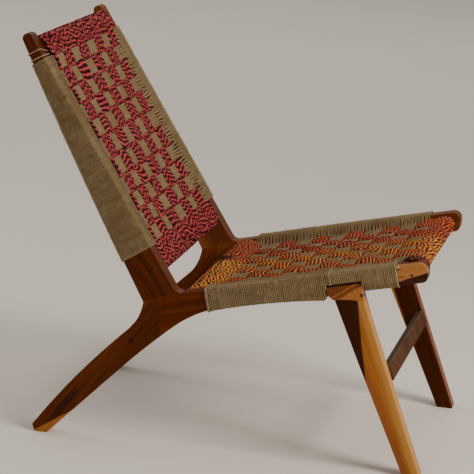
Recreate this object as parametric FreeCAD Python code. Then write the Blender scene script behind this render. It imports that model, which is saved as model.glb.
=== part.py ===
import FreeCAD, Part
import os
from math import hypot, tan, acos, asin, sqrt
from FreeCAD import Vector, Matrix

# Low easy chair: two Y-shaped hardwood side frames, raked front legs with a
# stretcher, four round cross rails, and a seat and a back woven from coloured
# cord (warp) and jute twine (weft).
#
# Working coordinates: X across the chair, s from the front end of the seat
# rails towards the back, z up from the floor. At the end everything is moved
# so that the origin is the bottom centre of the bounding box, the front of
# the chair faces -Y and +Z is up. Millimetres.

os.makedirs("parts", exist_ok=True)

# ---- driving dimensions ----------------------------------------------------
WIDTH = 550.0            # outside face to outside face of the side frames
T = 34.0                 # thickness of the side frames and front legs
EASE = 2.6               # rounding of the long wooden edges
GAP = 0.10               # glue gap in the mitred joints

POST_FOOT = (479.0, 315.3)       # a point on the post's front edge (s, z)
POST_DIR = (0.5543, 0.8323)      # the post's front edge, upwards
POST_END = 552.0                 # from POST_FOOT to the centre of the end round
POST_TOP_R = 10.3
# width of the post against the distance along its front edge
POST_WIDTH = [(552.0, 20.6), (508.0, 23.4), (465.0, 27.4), (356.0, 39.6),
              (289.0, 46.6), (232.0, 51.8), (151.0, 57.0), (93.0, 61.2)]
REAR_CROTCH = (538.5, 282.4)

RAIL_TOP_0 = 421.5       # height of the rail's top line at s = 0
RAIL_SLOPE = 0.243       # fall of the rail's top line towards the back
RAIL_FRONT = -3.0        # front end of the seat rail
RAIL_UNDER_0 = 379.5     # underside in front of the leg, at s = 0
RAIL_UNDER_SLOPE = 0.225
RAIL_CHAMFER = 12.0      # lower outer edge of the rail's front end
NOTCH = (115.0, 187.2)   # housing in the rail for the head of the front leg
NOTCH_ROOF = 18.0        # left above the housing
HEAD_TOP = 25.2          # head of the leg below the rail's top line
FRONT_CROTCH_R = 16.0

JOINT_J = (505.6, 296.6)         # where post, rail and rear leg meet
JOINT_U = (500.8, 217.8)         # the same joint at the underside

LEG_FOOT = (-20.5, 13.5)         # front foot on the floor, front and back
REAR_FOOT = (716.0, 741.5)

CROSS_R = 12.5           # round cross rails
CORD_T = 4.2             # coloured cord on the cross rails
WARP_CLEAR = 0.2
TENON_R = 6.0
TENON_L = 12.0
JUTE_T = 3.5             # jute twine round the posts and rails
JUTE_CLEAR = 0.2
BAND_HALF = 236.5        # half width of the coloured cord
# the side that is sat on or leaned on gives between the cross rails:
# (distance from the lower or rear cross rail, how far it is drawn in)
BACK_GIVE = [(55.0, 2.0), (240.0, 5.2), (418.0, 8.2)]
SEAT_GIVE = [(58.0, 8.0), (216.0, 7.6), (372.0, 4.4)]
# centres of the cross rails (s, z)
C_TOP = (781.0, 751.6)
C_LOW = (524.0, 351.3)
C_FRONT = (27.0, 392.0)
C_REAR = (447.8, 295.3)

BACK_JUTE = (89.0, 505.0)        # extent of the jute along the post
SEAT_JUTE_BACK = (181.0, 421.0)  # jute behind the front leg, along s
SEAT_JUTE_FRONT = (60.0, 124.5)  # jute in front of the leg

STRETCH_TOP = (59.0, 206.0)
STRETCH_BOTTOM = (46.5, 178.8)
STRETCH_T = 16.0
STRETCH_SET = 1.5        # front face behind the legs' front edge

DOWEL_R = 4.0
DOWEL_L = 36.0
SCREW_R = 1.7
SCREW_L = 50.0
SCREW_HEAD_R = 2.6
RECESS_R = 2.9
RECESS_D = 6.0

H = WIDTH / 2.0
XO = -H                  # outer face of the right-hand frame
XI = -H + T              # its inner face


# ---- helpers ---------------------------------------------------------------
def V(x, s, z):
    return Vector(x, s, z)


def rail_top(s):
    return RAIL_TOP_0 - RAIL_SLOPE * s


def rail_under(s):
    return RAIL_UNDER_0 - RAIL_UNDER_SLOPE * s


def post(u, v):
    """u along the post's front edge, v backwards across the post."""
    return (POST_FOOT[0] + u * POST_DIR[0] + v * POST_DIR[1],
            POST_FOOT[1] + u * POST_DIR[1] - v * POST_DIR[0])


def line(a, b, x=0.0):
    return Part.makeLine(V(x, *a), V(x, *b))


def arc(a, m, b, x=0.0):
    return Part.Arc(V(x, *a), V(x, *m), V(x, *b)).toShape()


def spline(pts, x=0.0, t0=None, t1=None):
    c = Part.BSplineCurve()
    kw = {}
    if t0 is not None and t1 is not None:
        kw = {"InitialTangent": V(0, *t0), "FinalTangent": V(0, *t1)}
    c.interpolate(Points=[V(x, *p) for p in pts], **kw)
    return c.toShape()


def arc_from(p, t, q, x=0.0):
    """Arc that leaves p along t and ends at q; returns it and its end heading."""
    d = (q[0] - p[0], q[1] - p[1])
    k = hypot(*d)
    c = (d[0] / k, d[1] / k)
    cos_a = t[0] * c[0] + t[1] * c[1]
    sin_a = t[0] * c[1] - t[1] * c[0]
    end = (c[0] * cos_a - c[1] * sin_a, c[0] * sin_a + c[1] * cos_a)
    if abs(sin_a) < 1e-6:
        return line(p, q, x), c
    sag = k / 2.0 * tan(asin(sin_a) / 2.0)
    m = ((p[0] + q[0]) / 2.0 + c[1] * sag, (p[1] + q[1]) / 2.0 - c[0] * sag)
    return arc(p, m, q, x), end


def back_dir(a, m, b):
    """Heading at a, away from the arc a-m-b."""
    c = arc(a, m, b).Curve.Center
    r = (a[0] - c.y, a[1] - c.z)
    t = (-r[1], r[0])
    if t[0] * (b[0] - a[0]) + t[1] * (b[1] - a[1]) > 0:
        t = (-t[0], -t[1])
    k = hypot(*t)
    return (t[0] / k, t[1] / k)


def unit(a, b):
    d = hypot(b[0] - a[0], b[1] - a[1])
    return ((b[0] - a[0]) / d, (b[1] - a[1]) / d)


def round_corner(a, c, b, r):
    """Tangent points and middle of an arc of radius r at corner c."""
    u1, u2 = unit(c, a), unit(c, b)
    ang = acos(max(-1.0, min(1.0, u1[0] * u2[0] + u1[1] * u2[1])))
    d = r / tan(ang / 2.0)
    p = (c[0] + u1[0] * d, c[1] + u1[1] * d)
    q = (c[0] + u2[0] * d, c[1] + u2[1] * d)
    bis = (u1[0] + u2[0], u1[1] + u2[1])
    n = hypot(*bis)
    cd = sqrt(d * d + r * r)
    ctr = (c[0] + bis[0] / n * cd, c[1] + bis[1] / n * cd)
    m = (ctr[0] - bis[0] / n * r, ctr[1] - bis[1] / n * r)
    return p, m, q


def poly_edges(items, x=0.0):
    """items: (point, radius) of a closed polygon; returns its edges."""
    n = len(items)
    corners = []
    for i, (c, r) in enumerate(items):
        a, b = items[i - 1][0], items[(i + 1) % n][0]
        corners.append(round_corner(a, c, b, r) if r else (c, c, c))
    edges = []
    for i in range(n):
        p, m, q = corners[i]
        if items[i][1]:
            edges.append(arc(p, m, q, x))
        nxt = corners[(i + 1) % n][0]
        if hypot(nxt[0] - q[0], nxt[1] - q[1]) > 1e-6:
            edges.append(line(q, nxt, x))
    return edges


def prism(edges, x0, x1):
    """Extrude a closed outline drawn at x = 0 from x0 to x1."""
    wire = Part.Wire(Part.__sortEdges__(edges))
    face = Part.Face(wire)
    solid = face.extrude(V(x1 - x0, 0, 0))
    solid.translate(V(x0, 0, 0))
    return solid


def poly(items, x0, x1):
    return prism(poly_edges([(i if len(i) == 2 and isinstance(i[0], tuple) else (i, 0)) for i in items]), x0, x1)


def ease(solid, r, keep=None):
    """Round the long edges, those that lie in the faces square to X."""
    for side in (0, 1):
        bb = solid.BoundBox
        at = bb.XMax if side else bb.XMin
        chosen = []
        for e in solid.Edges:
            b = e.BoundBox
            if abs(b.XMin - at) < 1e-4 and abs(b.XMax - at) < 1e-4 and (keep is None or keep(e)):
                chosen.append(e)

        def attempt(edges, rr):
            try:
                out = solid.makeFillet(rr, edges)
                if out.isValid() and len(out.Solids) == 1:
                    return out.Solids[0]
            except Exception:
                pass
            return None
        out = attempt(chosen, r)
        if out is None:
            done = []
            for e in chosen:
                if attempt(done + [e], r) is not None:
                    done.append(e)
            out = attempt(done, r) if done else None
            print("rounded one edge at a time: %d of %d" % (len(done), len(chosen)))
        if out is not None:
            solid = out
    return solid


def rod(c, r, x0, x1):
    return Part.makeCylinder(r, x1 - x0, V(x0, *c), Vector(1, 0, 0))


def rod_between(p, q, r):
    d = q.sub(p)
    return Part.makeCylinder(r, d.Length, p, d)


def mirror(shape):
    return shape.mirror(Vector(0, 0, 0), Vector(1, 0, 0))


# ---- outline of one side frame --------------------------------------------
post_line_end = post(POST_END, 0.0)
corner_s = (POST_FOOT[0] + POST_DIR[0] / POST_DIR[1] * (RAIL_TOP_0 - POST_FOOT[1])) / \
           (1.0 + POST_DIR[0] / POST_DIR[1] * RAIL_SLOPE)
front_corner = (corner_s, rail_top(corner_s))

rear_edge = [post(u, v) for u, v in POST_WIDTH]
top_mid = post(POST_END + POST_TOP_R, POST_TOP_R)

front_top = (RAIL_FRONT, rail_top(RAIL_FRONT))
front_low = (RAIL_FRONT, rail_under(RAIL_FRONT) + 0.0)

edges = []
cp, cm, cq = round_corner(post_line_end, front_corner, front_top, FRONT_CROTCH_R)
# the round top end runs smoothly into the tapering rear edge
want = back_dir(rear_edge[0], post(289.0, 46.6), REAR_CROTCH)
lo_u, hi_u = POST_END - 12.0, POST_END + 12.0
for _ in range(60):
    mu = (lo_u + hi_u) / 2.0
    end = arc_from(post(mu, 0.0), POST_DIR, rear_edge[0])[1]
    if (-want[0]) * end[1] - (-want[1]) * end[0] > 0:
        lo_u = mu
    else:
        hi_u = mu
post_line_end = post(mu, 0.0)
print("post end at %.3f" % mu, end, want)
edges.append(line(cp, post_line_end))
edges.append(arc_from(post_line_end, POST_DIR, rear_edge[0])[0])
edges.append(arc(rear_edge[0], post(289.0, 46.6), REAR_CROTCH))
# upper edge of the rear leg: a hollow below the crotch, then a slight bow
leg_a, leg_m, leg_b = (566.5, 224.0), (650.0, 136.5), (736.5, 27.5)
edges.append(arc_from(leg_a, back_dir(leg_a, leg_m, leg_b), REAR_CROTCH)[0])
edges.append(arc(leg_a, leg_m, leg_b))
heel = (746.8, 13.8)
hp, hm, hq = round_corner(leg_b, heel, (REAR_FOOT[1], 0.0), 5.0)
fp, fm, fq = round_corner(hq, (REAR_FOOT[1], 0.0), (REAR_FOOT[0], 0.0), 4.0)
low0 = (REAR_FOOT[0], 0.0)
low1 = (577.5, 144.4)
gp, gm, gq = round_corner((REAR_FOOT[1], 0.0), low0, low1, 3.0)
edges += [line(leg_b, hp), arc(hp, hm, hq), line(hq, fp), arc(fp, fm, fq),
          line(fq, gp), arc(gp, gm, gq), line(gq, low1)]
# underside: three arcs that run into each other
here, heading = low1, unit(gq, low1)
for there in ((478.0, 239.0), (385.0, 289.0), (NOTCH[1], 328.4)):
    e, heading = arc_from(here, heading, there)
    edges.append(e)
    here = there
under = [here]
n1 = (NOTCH[1], rail_top(NOTCH[1]) - NOTCH_ROOF)
n2 = (NOTCH[0], rail_top(NOTCH[0]) - NOTCH_ROOF)
n3 = (NOTCH[0], rail_under(NOTCH[0]))
edges += [line(under[-1], n1), line(n1, n2), line(n2, n3)]
lp, lm, lq = round_corner(n3, front_low, front_top, 14.0)
tp, tm, tq = round_corner(front_low, front_top, front_corner, 16.0)
edges += [line(n3, lp), arc(lp, lm, lq), line(lq, tp), arc(tp, tm, tq), line(tq, cq), arc(cq, cm, cp)]

frame = prism(edges, XO, XI)
frame = ease(frame, EASE)

# the lower outer edge of the rail is planed off in front of the leg
c0 = rail_under(-30.0)
c1 = rail_under(NOTCH[0])
ch = [V(XO - 1, -30.0, c0 - 1), V(XO + RAIL_CHAMFER, -30.0, c0 - 1), V(XO - 1, -30.0, c0 + RAIL_CHAMFER)]
chamfer_face = Part.Face(Part.makePolygon(ch + [ch[0]]))
frame = frame.cut(chamfer_face.extrude(V(0, NOTCH[0] + 30.0, c1 - c0)))

# ---- split the frame into post, rear leg and seat rail ----------------------
J, U = JOINT_J, JOINT_U
far_c = (J[0] + (front_corner[0] - J[0]) * 6.0, J[1] + (front_corner[1] - J[1]) * 6.0)
far_r = (J[0] + (REAR_CROTCH[0] - J[0]) * 6.0, J[1] + (REAR_CROTCH[1] - J[1]) * 6.0)
far_u = (J[0] + (U[0] - J[0]) * 6.0, J[1] + (U[1] - J[1]) * 6.0)


def zone(a, b, extra):
    """Region between rays J-a and J-b, closed round the outside."""
    ua, ub = unit(J, a), unit(J, b)
    n = (ua[0] + ub[0], ua[1] + ub[1])
    k = hypot(*n)
    j = (J[0] + n[0] / k * GAP, J[1] + n[1] / k * GAP)
    pts = [j, (j[0] + ua[0] * 1500, j[1] + ua[1] * 1500)] + extra + \
          [(j[0] + ub[0] * 1500, j[1] + ub[1] * 1500)]
    return poly(pts, XO - 5, XI + 5)


zone_post = zone(far_c, far_r, [(0.0, 1800.0), (2600.0, 1800.0)])
zone_leg = zone(far_r, far_u, [(2600.0, -1500.0)])
zone_rail = zone(far_u, far_c, [(-1500.0, -1500.0), (-1500.0, 1500.0)])

r_post = frame.common(zone_post).Solids[0]
r_leg = frame.common(zone_leg).Solids[0]
r_rail = frame.common(zone_rail).Solids[0]

# ---- front leg -------------------------------------------------------------
head_rear = NOTCH[1] - 0.3
head_front = NOTCH[0] + 1.2
leg_pts = [
    ((LEG_FOOT[0], 0.0), 3.0),
    ((LEG_FOOT[1], 0.0), 3.0),
    ((170.0, 326.6), 0.0),
    ((head_rear, 337.5), 0.0),
    ((head_rear, rail_top(head_rear) - HEAD_TOP), 0.0),
    ((head_front, rail_top(head_front) - HEAD_TOP), 0.0),
    ((head_front, 345.0), 4.0),
    ((101.5, 304.0), 30.0),
    ((38.0, 145.0), 200.0),
]
r_front = prism(poly_edges(leg_pts), XO, XI)
r_front = ease(r_front, EASE)
# long bevel on the outer rear edge that dies out half way down
a = V(XO - 0.02, 129.0, 334.5)
b = V(XO + 11.5, 177.5, 325.5)
c = V(XO - 0.02, 96.5, 171.0)
d = V(XO - 40.0, 205.0, 331.0)


def tri(p, q, r):
    return Part.Face(Part.makePolygon([p, q, r, p]))


bevel = Part.Solid(Part.Shell([tri(a, b, c), tri(a, b, d), tri(a, c, d), tri(b, c, d)]))
if bevel.Volume < 0:
    bevel.reverse()
r_front = r_front.cut(bevel)
r_front = r_front.Solids[0]

# ---- stretcher -------------------------------------------------------------
su = unit(STRETCH_BOTTOM, STRETCH_TOP)
sn = (su[1], -su[0])                       # backwards, square to the face
s_len = hypot(STRETCH_TOP[0] - STRETCH_BOTTOM[0], STRETCH_TOP[1] - STRETCH_BOTTOM[1])
sb = (STRETCH_BOTTOM[0] + sn[0] * STRETCH_SET, STRETCH_BOTTOM[1] + sn[1] * STRETCH_SET)
st = (sb[0] + su[0] * s_len, sb[1] + su[1] * s_len)
stretcher = poly([(sb, 2.0), (st, 2.0),
                  ((st[0] + sn[0] * STRETCH_T, st[1] + sn[1] * STRETCH_T), 2.0),
                  ((sb[0] + sn[0] * STRETCH_T, sb[1] + sn[1] * STRETCH_T), 2.0)],
                 XI + GAP, -XI - GAP)
s_mid = (sb[0] + su[0] * s_len / 2 + sn[0] * STRETCH_T / 2,
         sb[1] + su[1] * s_len / 2 + sn[1] * STRETCH_T / 2)

TEN_H, TEN_T, TEN_L = 18.0, 7.0, 32.0       # loose tenon in each stretcher joint


def tenon(grow, x0, x1):
    hh, tt = TEN_H / 2 + grow, TEN_T / 2 + grow
    pts = []
    for i, j in ((-1, -1), (1, -1), (1, 1), (-1, 1)):
        pts.append(((s_mid[0] + su[0] * hh * i + sn[0] * tt * j,
                     s_mid[1] + su[1] * hh * i + sn[1] * tt * j), TEN_T * 0.4))
    return poly(pts, x0, x1)


r_tenon = tenon(0.0, XI - TEN_L / 2, XI + TEN_L / 2)
hole = tenon(GAP, XI - TEN_L / 2 - 1.0, XI + TEN_L / 2 + 1.0)
r_front = r_front.cut(hole)
stretcher = stretcher.cut(hole).cut(mirror(hole))

# ---- cross rails, with a turned tenon at each end ---------------------------
def cross_rail(c):
    body = rod(c, CROSS_R, XI + GAP, -XI - GAP)
    pin = rod(c, TENON_R, XI - TENON_L, -XI + TENON_L)
    return body.fuse(pin).removeSplitter()


def screw(c):
    x_head = XO + RECESS_D
    head = rod(c, SCREW_HEAD_R, x_head, x_head + 2.2)
    shank = rod(c, SCREW_R, x_head + 1.0, x_head + SCREW_L)
    return head.fuse(shank).removeSplitter()


def screw_hole(c):
    x_head = XO + RECESS_D
    a = rod(c, RECESS_R, XO - 5.0, x_head + 2.3)
    b = rod(c, SCREW_R + GAP, x_head, x_head + SCREW_L + 1.0)
    return a.fuse(b)


def socket(c):
    return rod(c, TENON_R + GAP, XI - TENON_L - 0.3, XI + 1.0)


rails = {"back_top_rail": C_TOP, "back_lower_rail": C_LOW,
         "seat_front_rail": C_FRONT, "seat_rear_rail": C_REAR}
rail_shapes = {}
screws = []
for name, c in rails.items():
    sh = cross_rail(c)
    h = screw_hole(c)
    sh = sh.cut(h).cut(mirror(h))
    rail_shapes[name] = sh.Solids[0]
    screws += [screw(c), mirror(screw(c))]

for c in (C_TOP, C_LOW):
    r_post = r_post.cut(screw_hole(c)).cut(socket(c))
for c in (C_FRONT, C_REAR):
    r_rail = r_rail.cut(screw_hole(c)).cut(socket(c))

# ---- dowels of the Y joint and of the leg head --------------------------------
XM = (XO + XI) / 2.0


def dowel_at(mid, direction, length, grow=0.0, extra=0.0):
    k = hypot(*direction)
    dx = (direction[0] / k, direction[1] / k)
    l = length / 2.0 + extra
    p = V(XM, mid[0] - dx[0] * l, mid[1] - dx[1] * l)
    q = V(XM, mid[0] + dx[0] * l, mid[1] + dx[1] * l)
    return rod_between(p, q, DOWEL_R + grow)


def mid(a, b, k=0.5):
    return (a[0] + (b[0] - a[0]) * k, a[1] + (b[1] - a[1]) * k)


uc, ur, uu = unit(J, front_corner), unit(J, REAR_CROTCH), unit(J, U)
joints = [(mid(J, front_corner, 0.52), (-uc[1], uc[0])),
          (mid(J, REAR_CROTCH, 0.50), (-ur[1], ur[0])),
          (mid(J, U, 0.46), (-uu[1], uu[0])),
          (mid(J, U, 0.78), (-uu[1], uu[0]))]
frame_dowels = []
for m, dr in joints:
    frame_dowels.append(dowel_at(m, dr, DOWEL_L))
    dh = dowel_at(m, dr, DOWEL_L, GAP, 0.6)
    r_post, r_leg, r_rail = r_post.cut(dh), r_leg.cut(dh), r_rail.cut(dh)

head_dowels = []
for s in (134.0, 168.0):
    top = (s, rail_top(s) - (NOTCH_ROOF + HEAD_TOP) / 2.0)
    m = (top[0] - 0.2361 * 6.0, top[1] - 0.9717 * 6.0)
    dr = (0.2361, 0.9717)
    head_dowels.append(dowel_at(m, dr, DOWEL_L))
    dh = dowel_at(m, dr, DOWEL_L, GAP, 0.6)
    r_front, r_rail = r_front.cut(dh), r_rail.cut(dh)

# ---- coloured cord: a flat loop round each pair of cross rails ----------------
def at(c1, c2, side, k, h):
    """Point k along the line c1-c2 and h out from it, on side +1 or -1."""
    u = unit(c1, c2)
    return (c1[0] + u[0] * k - u[1] * side * h, c1[1] + u[1] * k + u[0] * side * h)


def give_at(give, length, k):
    pts = [(0.0, 0.0)] + give + [(length, 0.0)]
    for (ka, da), (kb, db) in zip(pts, pts[1:]):
        if ka <= k <= kb:
            return da + (db - da) * (k - ka) / (kb - ka)
    return 0.0


def belt(c1, c2, side, give, r, x0, x1):
    length = hypot(c2[0] - c1[0], c2[1] - c1[1])
    pts = [at(c1, c2, side, k, r - d) for k, d in [(0.0, 0.0)] + give + [(length, 0.0)]]
    e = [line(a, b) for a, b in zip(pts, pts[1:])]
    far, near = at(c1, c2, side, length, -r), at(c1, c2, side, 0.0, -r)
    e += [arc(pts[-1], at(c1, c2, side, length + r, 0.0), far), line(far, near),
          arc(near, at(c1, c2, side, -r, 0.0), pts[0])]
    return prism(e, x0, x1)


R_IN = CROSS_R + WARP_CLEAR
R_OUT = R_IN + CORD_T


def loop(c1, c2, side, give):
    return belt(c1, c2, side, give, R_OUT, -BAND_HALF, BAND_HALF).cut(
        belt(c1, c2, side, give, R_IN, -BAND_HALF - 5, BAND_HALF + 5))


back_cord = loop(C_LOW, C_TOP, 1, BACK_GIVE)
seat_cord = loop(C_REAR, C_FRONT, -1, SEAT_GIVE)

# ---- jute between the side frames: a thin layer over each face of the loops ----
def layer(c1, c2, side, give, lo, hi):
    """side +1/-1 of the line c1-c2; lo, hi along it from c1."""
    length = hypot(c2[0] - c1[0], c2[1] - c1[1])
    r0, r1 = R_OUT + JUTE_CLEAR, R_OUT + JUTE_CLEAR + 3.0
    ks = [lo] + [k for k, _ in give if lo < k < hi] + [hi]
    low = [at(c1, c2, side, k, r0 - give_at(give, length, k)) for k in ks]
    top = [at(c1, c2, side, k, r1 - give_at(give, length, k)) for k in reversed(ks)]
    return poly(low + top, -BAND_HALF, BAND_HALF)


back_len = hypot(C_TOP[0] - C_LOW[0], C_TOP[1] - C_LOW[1])
seat_len = hypot(C_FRONT[0] - C_REAR[0], C_FRONT[1] - C_REAR[1])
back_front_jute = layer(C_LOW, C_TOP, 1, BACK_GIVE, 38.0, back_len - 27.0)
back_rear_jute = layer(C_LOW, C_TOP, -1, [], 38.0, back_len - 27.0)
seat_top_jute = layer(C_REAR, C_FRONT, -1, SEAT_GIVE, 34.0, seat_len - 34.0)
seat_under_jute = layer(C_REAR, C_FRONT, 1, [], 34.0, seat_len - 34.0)

# ---- jute wrapped round the posts ---------------------------------------------
def post_strip(grow, u0, u1, x0, x1):
    ws = sorted(POST_WIDTH)
    inner = [w for w in ws if u0 < w[0] < u1]

    def width(u):
        for (ua, va), (ub, vb) in zip(ws, ws[1:]):
            if ua <= u <= ub:
                return va + (vb - va) * (u - ua) / (ub - ua)
        return ws[0][1] if u < ws[0][0] else ws[-1][1]
    back_line = [post(u0, width(u0) + grow)] + [post(u, v + grow) for u, v in inner] + \
                [post(u1, width(u1) + grow)]
    e = [line(post(u0, -grow), post(u0, width(u0) + grow)),
         spline(back_line),
         line(post(u1, width(u1) + grow), post(u1, -grow)),
         line(post(u1, -grow), post(u0, -grow))]
    return prism(e, x0, x1)


G0, G1 = JUTE_CLEAR, JUTE_CLEAR + JUTE_T
back_wrap = post_strip(G1, BACK_JUTE[0], BACK_JUTE[1], XO - G1, XI + G1)
back_wrap = ease(back_wrap, 2.0, keep=lambda e: e.Length > 200.0)
back_wrap = back_wrap.cut(post_strip(G0 + 0.25, BACK_JUTE[0] - 6, BACK_JUTE[1] + 6, XO - G0, XI + G0))

# ---- jute wrapped round the seat rails ------------------------------------------
def rail_strip(grow, s0, s1, under_pts, x0, x1):
    top = [(s1, rail_top(s1) + grow * 1.03), (s0, rail_top(s0) + grow * 1.03)]
    pts = [(s, z - grow * 1.03) for s, z in under_pts]
    return poly(pts + top, x0, x1)


ur_pts = [(SEAT_JUTE_BACK[0], 329.4), (215.0, 323.6), (291.5, 310.2), (350.0, 297.2), (SEAT_JUTE_BACK[1], 276.0)]
ur_out = [(SEAT_JUTE_BACK[0], 329.0), (215.0, 323.4), (291.5, 310.0), (350.0, 297.0), (SEAT_JUTE_BACK[1], 276.6)]
rear_outer = rail_strip(G1, SEAT_JUTE_BACK[0], SEAT_JUTE_BACK[1], ur_out, XO - G1, XI + G1)
mid_outer = rail_strip(G1, NOTCH[0] - 1, SEAT_JUTE_BACK[0] + 1,
                       [(NOTCH[0] - 1, rail_top(NOTCH[0] - 1) - NOTCH_ROOF),
                        (SEAT_JUTE_BACK[0] + 1, rail_top(SEAT_JUTE_BACK[0] + 1) - NOTCH_ROOF)],
                       XO - G1, XI + G1)
front_outer = rail_strip(G1, SEAT_JUTE_FRONT[0], SEAT_JUTE_FRONT[1] + 0.5,
                         [(SEAT_JUTE_FRONT[0] - 5.0, rail_under(SEAT_JUTE_FRONT[0] - 5.0)),
                          (SEAT_JUTE_FRONT[1] - 11.0, rail_under(SEAT_JUTE_FRONT[1] - 11.0))],
                         XO - G1, XI + G1)
seat_wrap = rear_outer.fuse(mid_outer).fuse(front_outer).removeSplitter()
# the space taken by the rail itself, and a little clearance
rail_core = poly([(SEAT_JUTE_BACK[1] + 8, rail_top(SEAT_JUTE_BACK[1] + 8) + G0),
                  (SEAT_JUTE_FRONT[0] - 20, rail_top(SEAT_JUTE_FRONT[0] - 20) + G0),
                  (SEAT_JUTE_FRONT[0] - 20, rail_under(SEAT_JUTE_FRONT[0] - 20) - G0),
                  (NOTCH[0] + 0.2, rail_under(NOTCH[0]) - G0),
                  (NOTCH[0] + 0.2, rail_top(NOTCH[0]) - NOTCH_ROOF - G0),
                  (NOTCH[1] - 0.2, rail_top(NOTCH[1]) - NOTCH_ROOF - G0),
                  (NOTCH[1] - 0.2, 328.2 - G0), (215.0, 323.2 - G0), (252.0, 317.1 - G0), (291.5, 309.6 - G0),
                  (320.0, 303.6 - G0), (350.0, 296.7 - G0), (380.0, 289.4 - G0), (405.0, 282.0 - G0), (430.0, 270.2 - G0)],
                 XO - G0, XI + G0)
seat_wrap = seat_wrap.cut(rail_core)
leg_core = poly([(head_rear + 0.5, 330.0), (head_rear + 0.5, rail_top(head_rear) - HEAD_TOP + 0.15),
                 (NOTCH[0] + 0.1, rail_top(NOTCH[0]) - HEAD_TOP + 0.15),
                 (NOTCH[0] + 0.1, 340.0), (101.0, 300.0), (160.0, 300.0)], XO - G0, XI + G0)
seat_wrap = seat_wrap.cut(leg_core)
for s in (134.0, 168.0):
    top = (s, rail_top(s) - (NOTCH_ROOF + HEAD_TOP) / 2.0)
    m = (top[0] - 0.2361 * 6.0, top[1] - 0.9717 * 6.0)
    seat_wrap = seat_wrap.cut(dowel_at(m, (0.2361, 0.9717), DOWEL_L, 0.4, 0.6))
seat_wrap = max(seat_wrap.Solids, key=lambda q: q.Volume)

# ---- collect ------------------------------------------------------------------
nodes = {
    "right_back_post": r_post,
    "right_rear_leg": r_leg,
    "right_seat_rail": r_rail,
    "right_front_leg": r_front,
    "left_back_post": mirror(r_post),
    "left_rear_leg": mirror(r_leg),
    "left_seat_rail": mirror(r_rail),
    "left_front_leg": mirror(r_front),
    "front_stretcher": stretcher,
    "right_stretcher_tenon": r_tenon,
    "left_stretcher_tenon": mirror(r_tenon),
    "right_frame_dowels": Part.makeCompound(frame_dowels),
    "left_frame_dowels": Part.makeCompound([mirror(q) for q in frame_dowels]),
    "right_leg_dowels": Part.makeCompound(head_dowels),
    "left_leg_dowels": Part.makeCompound([mirror(q) for q in head_dowels]),
    "cross_rail_screws": Part.makeCompound(screws),
    "back_coloured_cord": back_cord,
    "seat_coloured_cord": seat_cord,
    "back_front_jute": back_front_jute,
    "back_rear_jute": back_rear_jute,
    "seat_top_jute": seat_top_jute,
    "seat_under_jute": seat_under_jute,
    "right_back_jute_wrap": back_wrap,
    "left_back_jute_wrap": mirror(back_wrap),
    "right_seat_jute_wrap": seat_wrap,
    "left_seat_jute_wrap": mirror(seat_wrap),
}
nodes.update(rail_shapes)

box = FreeCAD.BoundBox()
for shape in nodes.values():
    box.add(shape.optimalBoundingBox(False))
mid_s = (box.YMin + box.YMax) / 2.0
print("size %.2f x %.2f x %.2f, moved by s %.3f z %.3f" % (box.XLength, box.YLength, box.ZLength, -mid_s, -box.ZMin))
move = Matrix()
move.move(Vector(0, -mid_s, -box.ZMin))

for name, shape in sorted(nodes.items()):
    out = shape.copy()
    if len(out.Solids) == 1 and out.ShapeType != "Solid":
        out = out.Solids[0]
    out.translate(Vector(0, -mid_s, -box.ZMin))
    ok = out.isValid()
    print("%-24s solids %d faces %d vol %.0f mm3 %s" % (name, len(out.Solids), len(out.Faces), out.Volume, "" if ok else "NOT VALID"))
    out.exportStep(os.path.join("parts", name + ".step"))
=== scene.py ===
import math
import bpy
import numpy as np
from mathutils import Vector, Matrix
from mathutils.bvhtree import BVHTree


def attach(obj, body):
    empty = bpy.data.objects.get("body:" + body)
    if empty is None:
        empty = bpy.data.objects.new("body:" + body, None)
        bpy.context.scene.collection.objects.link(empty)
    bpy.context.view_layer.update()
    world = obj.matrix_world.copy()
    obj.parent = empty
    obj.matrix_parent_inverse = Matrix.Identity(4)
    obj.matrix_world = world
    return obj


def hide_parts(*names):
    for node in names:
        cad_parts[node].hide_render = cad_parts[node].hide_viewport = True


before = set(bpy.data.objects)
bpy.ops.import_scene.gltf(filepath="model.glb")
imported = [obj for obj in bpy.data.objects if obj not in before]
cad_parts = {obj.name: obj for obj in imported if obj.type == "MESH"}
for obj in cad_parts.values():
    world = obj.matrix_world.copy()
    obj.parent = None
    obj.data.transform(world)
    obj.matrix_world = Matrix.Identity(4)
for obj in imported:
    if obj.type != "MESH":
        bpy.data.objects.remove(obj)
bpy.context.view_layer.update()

MID = 392.109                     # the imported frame's shift along Y, in mm
RNG = np.random.default_rng(20)
XI, XO = 241.0, 275.0             # inner and outer faces of the side frames
TAU = 2 * math.pi


# ---------------------------------------------------------------- geometry helpers
def to_m(x, s, z):
    x, s, z = np.broadcast_arrays(np.asarray(x, float), np.asarray(s, float), np.asarray(z, float))
    return np.stack([x, s - MID, z], -1) / 1000.0


def smooth(t):
    t = np.clip(t, 0.0, 1.0)
    return t * t * (3 - 2 * t)


def steps(pos, bounds, signs, width):
    """A value that is signs[i] between bounds[i-1] and bounds[i], with soft changes."""
    v = np.full(np.shape(pos), float(signs[0]))
    for b, s0, s1 in zip(bounds, signs[:-1], signs[1:]):
        v = v + (s1 - s0) * 0.5 * (1 + np.tanh((pos - b) / width))
    return v


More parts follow.
